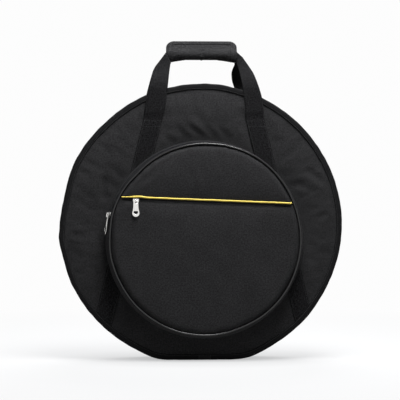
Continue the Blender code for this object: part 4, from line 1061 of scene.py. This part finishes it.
def pocket_face():
    """The pocket's round face in two sheets, above the yellow line and below its zip."""
    shape = bpy.context.scene.bag_shape
    for name, up, on, nodes in (
        ("pocket_face_top", -LINE_SEAM, "pocket_flap", ("flap_face_upper",)),
        ("pocket_face_main", -FACE_LIP, POCKET_HINGE, ("flap_face_lower", "pocket_face_lower")),
    ):
        half = chord_half(up)
        if up > 0:
            outline = face_arc(*face_turns(half, up))
        else:
            left, right = face_turns(chord_half(LINE_SEAM), LINE_SEAM)
            shut = half - 9.0
            outline = face_arc(right, left + 360)
            outline += [line_point(-shut - 3, LINE_SEAM), line_point(-shut, up)]
            outline += [line_point(shut, up), line_point(shut + 3, LINE_SEAM)]
        flat, faces = cut_sheet(outline, [], shape.cloth_spacing / MM)
        rim = away(flat, [outline + [outline[0]]])
        height = swollen(flat, faces, rim < 0.8, shape.pocket_swell / MM, growth=0.002)
        rise = (flat[:, 1] - POCKET.z) / FACE_R
        height *= 1.1 + 0.7 * rise if up < 0 else 1.3
        height = creased(flat, height, np.clip(rim / 20, 0, 1), FACE_CREASES)
        height = np.where(rim < 0.8, 0, height)
        if up < 0:
            # Low near its sides, so that the face zip's puller clears it all the way
            height = np.minimum(height, 1.3 + 0.08 * np.clip(130 - np.abs(flat[:, 0] - POCKET.x), 0, 60))
        r, turns = polar(POCKET, *flat.T)
        round_edge = np.array([FACE_R + slack(a, -FACE_Y) for a in turns]) - r
        front = FACE_Y + height - np.exp(-((round_edge / GROOVE) ** 2)) * GROOVE_DEEP - np.exp(-rim) * SEAM_PULL
        mesh = sheet_solid(flat, faces, front, front - FACE_THICK, -1)
        face = piece(name, mesh, on, *SHELL, nodes, sharp=60)
        triangles = [geometry.area_tri(*(Vector((*flat[i], 0)) for i in f[:3])) for f in faces]
        wide, tall = (max(flat[:, k]) - min(flat[:, k]) for k in (0, 1))


def face_zip():
    """Yellow piping, the zip under it and the flat bag behind that zip."""
    rows = []
    for i in range(141):
        s = -LINE_HALF + 2 * LINE_HALF * i / 140
        bulge = math.exp(-(((s + PUSHED) / 12) ** 2))
        rise = 0.9 + 1.4 * bulge - 0.5 * ease((-s - 150) / 14)
        thick = YELLOW * (1.06 + 0.2 * bulge - 0.42 * ease((-s - 150) / 10))
        thick *= 1 + 0.05 * noise.noise(Vector((s / 9, 4, 2)))
        x, z = line_point(s, rise + 0.25 * noise.noise(Vector((s / 25, 0, 0))))
        row_points = []
        for k in range(12):
            t = 2 * math.pi * k / 12
            up = thick * math.cos(t)
            row_points.append((x + LINE_UP.x * up, -LINE_Y + thick * math.sin(t), z + LINE_UP.z * up))
        rows.append(row_points)
    piece("yellow_line", lofted(rows), "pocket_flap", "yellow_vinyl_piping", "yellow_piping", ("yellow_piping",))
    half = LINE_HALF - 2
    for name, way, node in (("upper", 1, "face_zip_upper_tape"), ("lower", -1, "face_zip_lower_tape")):
        near, far = -FACE_ZIP_DROP + way * SLOT / 2, -FACE_ZIP_DROP + way * (SLOT / 2 + FACE_TAPE)
        rows = []
        for i in range(71):
            s = -half + 2 * half * i / 70
            corners = [(near, 0.1), (near, -0.9), (far, -0.9), (far, 0.0)]
            corners += [((near + far) / 2, 0.2)] if way > 0 else [(-10.4, 0.2), (-9.6, 1.1), (-7.6, 0.5)]
            rows.append([
                (line_point(s, up)[0], -(FACE_TAPE_Y + out), line_point(s, up)[1]) for up, out in corners
            ])
        piece("face_zip_tape_" + name, lofted(rows), "pocket_flap", "woven_polyester", "zip_tape", (node,))
        shift = 0.85 * (way > 0)
        ends = [line_point(s, -FACE_ZIP_DROP + way * 1.65) for s in (-half + 2 + shift, half - 2 + shift)]
        path = flat_path(ends, -(FACE_TAPE_Y + COIL_RISE))
        zip_teeth("face_zip_coil_" + name, path, "pocket_flap", pitch=1.7, reach=2.4, width=1.05, height=1.3, seed=7)
    ends = [line_point(s, -FACE_LIP - 2.6) for s in (-chord_half(-12) + 8, chord_half(-12) - 8)]
    path = flat_path(spaced(ends, 12), -FACE_Y - 0.25)
    stitches("face_zip_stitches", [path], "pocket_flap", "zip_tape", length=2.8, width=0.6, seed=9)
    inner_bag()


def inner_bag():
    """Flat nylon bag that hangs behind the face zip, slightly rumpled."""
    front_y = (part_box("face_zip_lower_tape")[1].y / MM - MIDDLE_Y) + 0.3
    back_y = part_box("flap_inner_bag")[1].y / MM - MIDDLE_Y
    top, low_edge, rows = -FACE_ZIP_DROP + SLOT / 2 + FACE_TAPE, -45, []
    inner = top - 3.5
    for i in range(57):
        s = -140 + 280 * i / 56
        section = [(top, front_y), (top, back_y)]
        section += [(top + (low_edge - top) * k / 10, back_y) for k in range(1, 11)]
        section += [(inner + (low_edge - inner) * k / 10, back_y - 0.8) for k in range(10, -1, -1)]
        section += [(inner, front_y)]
        points = []
        for up, y in section:
            rumple = 0.25 * noise.noise(Vector((s / 18, up / 14, 5))) * ease((top - 4 - up) / 12)
            x, z = line_point(s, up)
            points.append((x, y + rumple, z))
        rows.append(points)
    bag = piece("inner_pocket_bag", lofted(rows), "pocket_flap", *LINING, ("flap_inner_bag",))


def handle_y(z):
    """Distance of the handle's webbing from the middle plane."""
    if z < STRAP_TOP + 16:
        return STRAP_Y + (HANDLE_Y - STRAP_Y) * ease((z - STRAP_TOP) / 16)
    start = RIM_TOP - 9
    return HANDLE_Y + (FOLD_Y - HANDLE_Y) * ease((z - start) / (GRIP_LOW + 12 - start))


def evenly(line, count):
    """The same number of points along any line, evenly spaced."""
    line = np.array([tuple(p) for p in line])
    run = np.concatenate(([0], np.cumsum(np.linalg.norm(np.diff(line, axis=0), axis=1))))
    at = np.linspace(0, run[-1], count)
    return [Vector([np.interp(t, run, line[:, k]) for k in range(3)]) for t in at]


def webbing_rows(stations, thick):
    """Rows of a strap through (edge, edge, normal) stations, with rounded selvedges."""
    section = [
        (0.0, 0.0), (0.012, 0.38), (0.05, 0.5), (0.25, 0.47), (0.5, 0.46), (0.75, 0.47), (0.95, 0.5), (0.988, 0.38),
        (1.0, 0.0), (0.988, -0.38), (0.95, -0.5), (0.5, -0.46), (0.05, -0.5), (0.012, -0.38),
    ]
    return [[a + (b - a) * u + normal * (t * thick) for u, t in section] for a, b, normal in stations]


def folded_in(inner, outer, hand, side):
    """Stations of the webbing where it folds back on itself beside the grip and runs through it."""
    run = outer - inner
    crease = Vector((run.z, 0, -run.x)).normalized() * -hand
    back = Vector((0, -side, 0))
    rows = [(p + crease * 0.8 + back * 0.8 for p in (inner, outer)), (p + back * 1.7 for p in (inner, outer))]
    rows = [(*row, normal) for row, normal in zip(rows, (crease, back))]
    end = GRIP_X + hand * GRIP_HALF
    for x, low, high, y in (
        (end + hand * 0.6, 614.5, 634.5, 9.0), (end - hand * 9, 620.0, 636.0, 5.5), (GRIP_X, 621.5, 636.0, GRIP_STRAP_Y)
    ):
        rows.append((Vector((x, side * y, low)), Vector((x, side * y, high)), back))
    return rows


def straps():
    """Each side's webbing in one piece: sewn to the panel, free over the rim, and through the grip."""
    for label, side, low_body in (("front", -1, "lid"), ("rear", 1, "case")):
        parts = []
        for hand in (-1, 1):
            (inner_top, inner_low), (outer_top, outer_low) = strap_ends(hand)
            stations = []
            for i in range(61):
                t = 1 - i / 60
                inner = [p + (q - p) * t for p, q in zip(inner_top, inner_low)]
                outer = [p + (q - p) * t for p, q in zip(outer_top, outer_low)]
                y = side * (STRAP_Y + 0.12 * noise.noise(Vector((t * 9, hand, side))))
                edges = [Vector((x, y, z)) for x, z in (inner, outer)]
                stations.append((*edges, Vector((0, side, 0))))
            outer_line, inner_line = {
                (-1, -1): (LEFT_OUTER, LEFT_INNER), (1, -1): (LEFT_OUTER, LEFT_INNER),
                (-1, 1): (RIGHT_OUTER, RIGHT_INNER), (1, 1): (REAR_RIGHT_OUTER, REAR_RIGHT_INNER),
            }[side, hand]
            outer_line, inner_line = (
                evenly(smooth([(x, 0, z) for x, z in reversed(line)]), 64) for line in (outer_line, inner_line)
            )
            free = []
            for outer, inner in zip(outer_line, inner_line):
                free.append([Vector((p.x, side * handle_y(p.z), p.z)) for p in (inner, outer)])
            for k, (inner, outer) in enumerate(free[1:], 1):
                ahead = free[min(k + 1, len(free) - 1)]
                behind = free[k - 1]
                run = (ahead[0] + ahead[1]) - (behind[0] + behind[1])
                normal = run.cross(outer - inner).normalized()
                normal *= 1 if normal.y * side > 0 else -1
                stations.append((inner, outer, normal))
            stations += folded_in(*free[-1], hand, side)
            parts.append(lofted(webbing_rows(stations, WEBBING_THICK)))
        low, high = (POCKET.x, side * STRAP_Y, STRAP_TOP - 9), (POCKET.x, side * STRAP_Y, STRAP_TOP + 9)
        nodes = (label + "_strap_left", label + "_strap_right", label + "_handle_webbing")
        hinge = (low_body, label + "_handle", low, high)
        piece(label + "_straps", joined(*parts), hinge, *WEB, nodes)
        strap_stitches(label, side, low_body)


def strap_stitches(label, side, on):
    """Rows down both edges of the sewn straps, and two rows across at the top."""
    paths = []
    for hand in (-1, 1):
        (inner_top, inner_low), (outer_top, outer_low) = strap_ends(hand)
        a, b, c, d = (Vector(p) for p in (inner_top, outer_top, outer_low, inner_low))

        def at(across, down):
            top, low = a.lerp(b, across / WEBBING), d.lerp(c, across / WEBBING)
            p = top.lerp(low, down / (top - low).length)
            return p.x, p.y

        length = (a - d).length
        y = side * (STRAP_Y + WEBBING_THICK / 2 + 0.05)
        for across in (2.6, WEBBING - 2.6):
            line = spaced([at(across, 4), at(across, length - 6)], 4)
            paths.append(flat_path([p for p in line if polar(CASE, *p)[0] < BINDING_R - 3], y, side))
        for down in (5, 17):
            paths.append(flat_path([at(2.6, down), at(WEBBING - 2.6, down)], y, side))
    stitches(label + "_strap_stitches", paths, on, "webbing", 3.4, 2.8, height=0.3, seed=13)


def arch_rise(x, z):
    """How far the grip's underside rises towards its middle, with a small fold where the leaf meets itself."""
    rise = GRIP_ARCH * (1 - (x / GRIP_HALF) ** 2) - 1.8 * math.exp(-((x / 2.6) ** 2))
    return rise * (1 - ease((z - GRIP_LOW) / 24))


def leaf_top(x):
    """Height of a leaf's top, which bows and has round corners."""
    corner = min(1.0, max(0.0, abs(x) - (GRIP_HALF - GRIP_CORNER)) / GRIP_CORNER)
    bow = 1.0 - 1.6 * (x / GRIP_HALF) ** 2
    return GRIP_TOP + bow - GRIP_SHOULDER * (1 - math.sqrt(1 - corner**2))


def leaf_section(x):
    """(distance from the middle plane, z) points round a grip leaf at x from its middle."""
    thin = 1 - 0.14 * ease((abs(x) - 56) / 16)
    low = GRIP_SEAM - 3
    squash = max(0.04, (leaf_top(x) - low) / (GRIP_TOP - low))
    out = []
    for p in smooth([(d, 0, z) for d, z in LEAF], 3):
        z = p.z + arch_rise(x, p.z)
        out.append((GRIP_INNER_Y + (p.x - GRIP_INNER_Y) * thin, low + (z - low) * squash if z > low else z))
    return out


def leaf_front(x, z):
    """Distance of a leaf's front from the middle plane."""
    section = [p for p in leaf_section(max(-GRIP_HALF, min(GRIP_HALF, x))) if p[0] > 2.6]
    heights = np.array([p[1] for p in section])
    order = np.argsort(heights)
    return float(np.interp(z, heights[order], np.array([p[0] for p in section])[order]))


def leaf_outline():
    """(x, z, inward x, inward z, band width) points up one end of a leaf, over its top and down the other end."""
    out = []
    for i in range(13):
        out.append((-GRIP_HALF, 614.2 + (GRIP_TOP - GRIP_SHOULDER - 614.2) * i / 12, 1.0, 0.0, GRIP_SIDE_BINDING))
    for i in range(1, 13):
        t = math.pi / 2 * i / 12
        x, z = -GRIP_HALF + GRIP_CORNER * (1 - math.cos(t)), GRIP_TOP - GRIP_SHOULDER * (1 - math.sin(t))
        band = GRIP_SIDE_BINDING + (GRIP_TOP_BINDING - GRIP_SIDE_BINDING) * ease(i / 12)
        out.append((x, z, math.cos(t), -math.sin(t), band))
    for i in range(1, 16):
        x = (-GRIP_HALF + GRIP_CORNER) * (1 - i / 15)
        out.append((x, GRIP_TOP, 0.0, -1.0, GRIP_TOP_BINDING))
    return out + [(-x, z, -a, b, band) for x, z, a, b, band in reversed(out[:-1])]


def leaf_edge(side):
    """Rows of the tape bound over a leaf's edge, and the path of its seam."""
    rows, seam = [], []
    for x, z, a, b, band in leaf_outline():
        edge = leaf_front(x, z)

        def inside(reach, lift):
            px, pz = x + a * reach, z + b * reach
            return px, leaf_front(px, pz) + lift, pz

        section = [
            inside(band * share, lift)
            for share, lift in ((1.0, 0.0), (0.97, 0.9), (0.75, 1.0), (0.5, 1.0), (0.25, 0.95), (0.08, 0.8))
        ]
        for out, d in ((0.75, edge * 0.85), (0.95, edge * 0.55), (0.8, 1.5), (-1.2, 1.5)):
            section.append((x - a * out, d, z - b * out))
        section += [inside(band * share, -0.7) for share in (0.3, 0.97)]
        rows.append([(GRIP_X + px, side * max(d, 1.4), min(pz, GRIP_TOP + 0.9)) for px, d, pz in section])
        px, d, pz = inside(band - 1.8, 1.05)
        seam.append(((GRIP_X + px, side * d, pz), (0, side, 0)))
    return rows, seam


def grips():
    """Two padded leaves that close over the handles, their bound edges and the closure strips."""
    shape = bpy.context.scene.bag_shape
    xs = [GRIP_HALF * math.sin(math.pi / 2 * (-1 + 2 * i / 72)) for i in range(73)]
    for label, side, closure in (("front", -1, "hook"), ("rear", 1, "loop")):
        on, node = label + "_handle", f"{label}_grip_{closure}_strip"
        mesh = lofted([[(GRIP_X + x, side * d, z) for d, z in leaf_section(x)] for x in xs])
        points = np.array([v.co for v in mesh.vertices])
        faces = [tuple(p.vertices) for p in mesh.polygons]
        held = np.abs(points[:, 1]) < 3.4
        held |= np.abs(points[:, 0] - GRIP_X) > GRIP_HALF - GRIP_SIDE_BINDING - 1
        held |= (np.abs(points[:, 2] - GRIP_SEAM) < 1.4) | (points[:, 2] > GRIP_TOP - GRIP_TOP_BINDING - 1)
        points = inflate(points, faces, held, growth=0.012, cap=shape.grip_swell / MM)
        for vertex, point in zip(mesh.vertices, points):
            vertex.co = point
        leaf = piece(label + "_grip_leaf", mesh, on, *SHELL, (label + "_grip_pad",), sharp=80)
        rows, seam = leaf_edge(side)
        nodes = (label + "_grip_binding",)
        piece(label + "_grip_edge", lofted(rows), on, "woven_polyester", "binding_tape", nodes)
        low, high = (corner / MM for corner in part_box(node))
        strip = soft_tab(high - low, (low + high) / 2 - Vector((0, MIDDLE_Y, 0)), swell=0.0)
        piece(label + "_closure_" + closure, strip, on, "hook_and_loop_pile", "hook_and_loop", (node,))
        y, reach = side * (leaf_front(0, GRIP_SEAM) + 0.15), GRIP_HALF - GRIP_SIDE_BINDING - 0.5
        level = flat_path([(GRIP_X + x, GRIP_SEAM) for x in (-reach, reach)], y, side)
        stitches(label + "_grip_stitches", [seam, level], on, "binding_tape", 3.2, 2.8, 0.6, 0.35, seed=17)


def zip_frame(centre, r, y, angle, lean):
    """Frame on a round zip: X along its travel, Y across it, Z away from the wall."""
    a, b = math.radians(angle), lean
    travel, outward = Vector((math.cos(a), 0, -math.sin(a))), Vector((math.sin(a), 0, math.cos(a)))
    across = Vector((0, 1, 0))
    normal, edge = outward * math.cos(b) - across * math.sin(b), across * math.cos(b) + outward * math.sin(b)
    columns = Matrix((travel, edge, normal)).transposed().to_4x4()
    return Matrix.Translation(centre + outward * r + Vector((0, y, 0))) @ columns


def outlined(splines, thick, bevel, place):
    """Plate from closed outlines, the first one its edge and the rest holes, with rounded edges."""
    flat = bpy.data.curves.new("plate", "CURVE")
    flat.dimensions, flat.fill_mode = "2D", "BOTH"
    flat.extrude, flat.bevel_depth, flat.bevel_resolution = thick / 2 - bevel, bevel, 2
    flat.offset = -bevel
    for points in splines:
        spline = flat.splines.new("POLY")
        spline.points.add(len(points) - 1)
        for point, (x, y) in zip(spline.points, points):
            point.co = (x, y, 0, 1)
        spline.use_cyclic_u = True
    guide = linked("plate", flat)
    mesh = bpy.data.meshes.new_from_object(guide.evaluated_get(bpy.context.evaluated_depsgraph_get()))
    bpy.data.objects.remove(guide)
    bm = bmesh.new()
    bm.from_mesh(mesh)
    bmesh.ops.remove_doubles(bm, verts=bm.verts, dist=0.005)
    bm.transform(place)
    bmesh.ops.recalc_face_normals(bm, faces=bm.faces)
    bm.to_mesh(mesh)
    bm.free()
    return mesh


def puller_plate(place, slot=SHORT_EYE):
    """Pull tab with an eye for the bail as long as given, a raised middle and a half moon hole."""
    arc = [math.radians(180 * i / 18 - 90) for i in range(19)]
    mirrored = lambda points: points + [(x, -y) for x, y in reversed(points)]
    tip, wide = TAB_LONG - TAB_TIP_R, TAB_TIP_R
    half = [(-0.8, 4.0), (-0.6, 4.5), (0.4, 4.8), (14.0, 5.3), (19.0, 6.0), (22.5, 6.8)]
    outline = [(x, -y) for x, y in half] + [(tip + wide * math.cos(a), wide * math.sin(a)) for a in arc]
    outline += [(x, y) for x, y in reversed(half)]
    eye = mirrored([(0.8, -1.3), (1.2, -1.8), (slot - 0.8, -1.8), (slot, -1.1)])
    moon = [(tip - 3.4, -4.2), (tip - 4.2, -3.4), (tip - 4.2, 3.4), (tip - 3.4, 4.2)]
    moon += [(tip - 2.4 + 4.1 * math.cos(a), 4.5 * math.sin(a)) for a in reversed(arc)]
    ridge = mirrored([(slot + 1.4, -2.8), (slot + 2.4, -3.6), (16.0, -3.8), (19.2, -3.0)])
    plate = outlined([outline, eye, moon], TAB_THICK, bevel=0.3, place=place)
    return joined(plate, outlined([ridge], TAB_THICK + 0.8, bevel=0.55, place=place))


def metal():
    """Sliders from the frame with their edges broken, and the four pull tabs."""
    for name in ("main_slider_left", "main_slider_right", "pocket_slider", "face_slider"):
        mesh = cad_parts[name].data.copy()
        mesh.transform(PLACE.inverted())
        bm = bmesh.new()
        bm.from_mesh(mesh)
        bmesh.ops.remove_doubles(bm, verts=bm.verts, dist=0.01)
        bmesh.ops.dissolve_limit(bm, angle_limit=math.radians(2), verts=bm.verts, edges=bm.edges)
        sharp = [e for e in bm.edges if e.is_manifold and e.calc_face_angle(0) > 0.5]
        bmesh.ops.bevel(bm, geom=sharp, offset=0.28, segments=2, affect="EDGES", clamp_overlap=True)
        bm.to_mesh(mesh)
        bm.free()
        piece(name + "_body", mesh, name, *NICKEL, (name,), sharp=40)
    case_zip = (CASE, TAPE_R, ZIP_Y)
    pocket_zip = (POCKET, pocket_wall_radius(POCKET_ZIP_Y) - 0.5, POCKET_ZIP_Y)
    for name, stands, angle, lean, rise, way, tip, stretch, eye in (
        ("main_puller_left", case_zip, MAIN_SLIDER_LEFT, 0, PIVOT_RISE, 180, 0, 1, MAIN_EYE),
        ("main_puller_right", case_zip, MAIN_SLIDER_RIGHT, 0, PIVOT_RISE, 0, 0, 1, MAIN_EYE),
        ("pocket_puller", pocket_zip, POCKET_SLIDER, FLARE, POCKET_PIVOT_RISE, 180, 6, POCKET_TAB_STRETCH, SHORT_EYE),
    ):
        place = zip_frame(*stands, angle, lean) @ Matrix.Translation((0, 0, rise))
        place = place @ Matrix.Rotation(math.radians(way), 4, "Z") @ Matrix.Rotation(math.radians(tip), 4, "Y")
        place = place @ Matrix.Scale(stretch, 4, (1, 0, 0))
        piece(name + "_tab", puller_plate(place, eye), name, *NICKEL, (name,), sharp=40)
    pivot = LINE - LINE_ALONG * (LINE_HALF - FACE_SLIDER) - LINE_UP * FACE_ZIP_DROP
    pivot -= Vector((0, FACE_TAPE_Y + PIVOT_RISE, 0))
    columns = Matrix(((0, 0, -1), (1, 0, 0), (0, -1, 0))).transposed().to_4x4()
    mesh = puller_plate(Matrix.Translation(pivot) @ columns @ Matrix.Rotation(math.radians(-4.5), 4, "Y"))
    piece("face_puller_tab", mesh, "face_puller", *NICKEL, ("face_puller",), sharp=40)


# ---- Stage ----


def background_rays(tree):
    """1 for the rays that see the background, 0 for those that only light the bag."""
    seen = knot(tree, "ShaderNodeLightPath").outputs
    rays = seen["Is Camera Ray"]
    for name in ("Is Glossy Ray", "Is Transmission Ray"):
        rays = knot(tree, "ShaderNodeMath", {0: rays, 1: seen[name]}, operation="MAXIMUM")
    return rays


def paper_floor(paper):
    """Pale floor that keeps the bag's shadow near its foot, partly real from the lamps and partly painted where ambient
    occlusion dims its glow, and fades into the background.
    """
    tree, at = begun("pale_paper")
    rays = background_rays(tree)
    matt = knot(tree, "ShaderNodeBsdfDiffuse", {"Color": (0.35, 0.35, 0.35, 1)})
    # Painted contact shadow: the floor's glow dims where ambient occlusion finds the bag close
    painted_contact_shadow = knot(tree, "ShaderNodeAmbientOcclusion", {"Distance": 0.13})
    strength = knot(tree, "ShaderNodeMapRange", {"Value": painted_contact_shadow.outputs["AO"], "To Min": 0.5, "To Max": 0.77})
    glow = knot(tree, "ShaderNodeEmission", {"Color": (0.985, 0.99, 1.0, 1), "Strength": strength})
    lit = knot(tree, "ShaderNodeBsdfDiffuse", {"Color": (0.1, 0.1, 0.1, 1)})
    near = knot(tree, "ShaderNodeAddShader", {0: glow, 1: lit})
    far = knot(tree, "ShaderNodeEmission", {"Color": (1, 1, 1, 1), "Strength": paper})
    reach = knot(tree, "ShaderNodeVectorMath", {0: at.outputs["Object"]}, operation="LENGTH").outputs["Value"]
    fade = knot(tree, "ShaderNodeMapRange", {"Value": reach, "From Min": 0.45, "From Max": 1.3})
    ground = knot(tree, "ShaderNodeMixShader", {0: fade, 1: near, 2: far})
    both = knot(tree, "ShaderNodeMixShader", {0: rays, 1: matt, 2: ground})
    knot(tree, "ShaderNodeOutputMaterial", {"Surface": both})
    mesh = bpy.data.meshes.new("floor")
    mesh.from_pydata([(-9, -9, 0), (9, -9, 0), (9, 9, 0), (-9, 9, 0)], [], [(0, 1, 2, 3)])
    mesh.materials.append(bpy.data.materials["pale_paper"])
    floor = linked("floor", mesh)
    floor.location.z = -0.0008


def studio():
    """World, lamps and camera."""
    scene = bpy.context.scene
    settings = scene.bag_stage
    scene.view_settings.view_transform = "Standard"
    world = scene.world or bpy.data.worlds.new("Studio")
    scene.world = world
    world.use_nodes = True
    tree = world.node_tree
    tree.nodes.clear()
    room = knot(tree, "ShaderNodeBackground", {"Color": (1, 1, 1, 1), "Strength": ROOM_LIGHT})
    paper = knot(tree, "ShaderNodeBackground", {"Color": (1, 1, 1, 1), "Strength": settings.paper})
    both = knot(tree, "ShaderNodeMixShader", {0: background_rays(tree), 1: room, 2: paper})
    knot(tree, "ShaderNodeOutputWorld", {"Surface": both})
    # Where each lamp stands and aims, its width in metres and its power in watts
    for name, at, aim, wide, power in (
        ("overhead", (0.2, -0.5, 1.7), (0, 0, 0.5), 0.9, 23.5),
        ("rear_softbox", (0.2, 1.6, 1.9), (0, 0, 0.3), 1.6, 30),
    ):
        lamp = bpy.data.lights.new(name, "AREA")
        lamp.shape, lamp.size, lamp.energy, lamp.spread = "DISK", wide, power, LAMP_SPREAD
        obj = linked(name, lamp)
        obj.location = at
        obj.rotation_euler = (Vector(aim) - Vector(at)).to_track_quat("-Z", "Y").to_euler()
    paper_floor(settings.paper)
    target = Vector((AIM_X, -HALF_DEPTH + MIDDLE_Y, AIM_Z)) * MM
    a, e = settings.azimuth, settings.elevation
    back = Vector((math.sin(a) * math.cos(e), -math.cos(a) * math.cos(e), math.sin(e)))
    camera = linked("camera", bpy.data.cameras.new("camera"))
    camera.location = target + back * settings.distance
    camera.rotation_euler = (-back).to_track_quat("-Z", "Y").to_euler()
    camera.data.sensor_width = SENSOR
    camera.data.lens = SENSOR * settings.distance / (VIEW_WIDE * MM)
    scene.camera = camera


# ---- Operators, one for each piece or group ----


class BagMaterials(bpy.types.Operator):
    """Make every finish of the bag"""

    bl_idname = "cymbal_bag.materials"
    bl_label = "Materials"

    def execute(self, context):
        soft_materials()
        hard_materials()
        return {"FINISHED"}


class BagShell(bpy.types.Operator):
    """Sew the padded panels, the lining and the rim bindings"""

    bl_idname = "cymbal_bag.shell"
    bl_label = "Panels and bindings"

    def execute(self, context):
        case_shell()
        return {"FINISHED"}


class BagSide(bpy.types.Operator):
    """Make the side wall and the main zip"""

    bl_idname = "cymbal_bag.side"
    bl_label = "Side wall and main zip"

    def execute(self, context):
        case_side()
        main_zip()
        return {"FINISHED"}


class BagPocket(bpy.types.Operator):
    """Make the round pocket's side, piping and zip"""

    bl_idname = "cymbal_bag.pocket"
    bl_label = "Pocket side"

    def execute(self, context):
        pocket_side()
        return {"FINISHED"}


class BagFace(bpy.types.Operator):
    """Stretch the pocket's face above and below the yellow line"""

    bl_idname = "cymbal_bag.face"
    bl_label = "Pocket face"

    def execute(self, context):
        pocket_face()
        return {"FINISHED"}


class BagLine(bpy.types.Operator):
    """Make the yellow line and the zip under it"""

    bl_idname = "cymbal_bag.line"
    bl_label = "Yellow line and face zip"

    def execute(self, context):
        face_zip()
        return {"FINISHED"}


class BagStraps(bpy.types.Operator):
    """Lay the webbing of both handles"""

    bl_idname = "cymbal_bag.straps"
    bl_label = "Straps"

    def execute(self, context):
        straps()
        return {"FINISHED"}


class BagGrips(bpy.types.Operator):
    """Pad and bind the two leaves of the grip"""

    bl_idname = "cymbal_bag.grips"
    bl_label = "Grip"

    def execute(self, context):
        grips()
        return {"FINISHED"}


class BagMetal(bpy.types.Operator):
    """Make the sliders and pull tabs"""

    bl_idname = "cymbal_bag.metal"
    bl_label = "Sliders and pull tabs"

    def execute(self, context):
        metal()
        return {"FINISHED"}


class BagStudio(bpy.types.Operator):
    """Set the floor, the lamps and the camera"""

    bl_idname = "cymbal_bag.studio"
    bl_label = "Stage"

    def execute(self, context):
        studio()
        return {"FINISHED"}


OPERATORS = (
    BagStudio, BagMaterials, BagShell, BagSide, BagPocket, BagFace, BagLine, BagStraps, BagGrips, BagMetal,
)


class BagPanel(bpy.types.Panel):
    """Buttons and sizes of the bag"""

    bl_idname = "VIEW3D_PT_cymbal_bag"
    bl_label = "Cymbal bag"
    bl_space_type = "VIEW_3D"
    bl_region_type = "UI"
    bl_category = "Bag"

    def draw(self, context):
        for operator in OPERATORS:
            self.layout.operator(operator.bl_idname)
        for group in (context.scene.bag_colours, context.scene.bag_shape, context.scene.bag_stage):
            for name in group.__annotations__:
                self.layout.prop(group, name)


def register():
    for kind in (BagColours, BagShape, BagStage, *OPERATORS, BagPanel):
        bpy.utils.register_class(kind)
    bpy.types.Scene.bag_colours = bpy.props.PointerProperty(type=BagColours)
    bpy.types.Scene.bag_shape = bpy.props.PointerProperty(type=BagShape)
    bpy.types.Scene.bag_stage = bpy.props.PointerProperty(type=BagStage)


def unregister():
    del bpy.types.Scene.bag_stage, bpy.types.Scene.bag_shape, bpy.types.Scene.bag_colours
    for kind in reversed((BagColours, BagShape, BagStage, *OPERATORS, BagPanel)):
        bpy.utils.unregister_class(kind)


def main():
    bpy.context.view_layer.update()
    register()
    for operator in OPERATORS:
        group, name = operator.bl_idname.split(".")
        getattr(getattr(bpy.ops, group), name)()


if __name__ == "__main__":
    main()
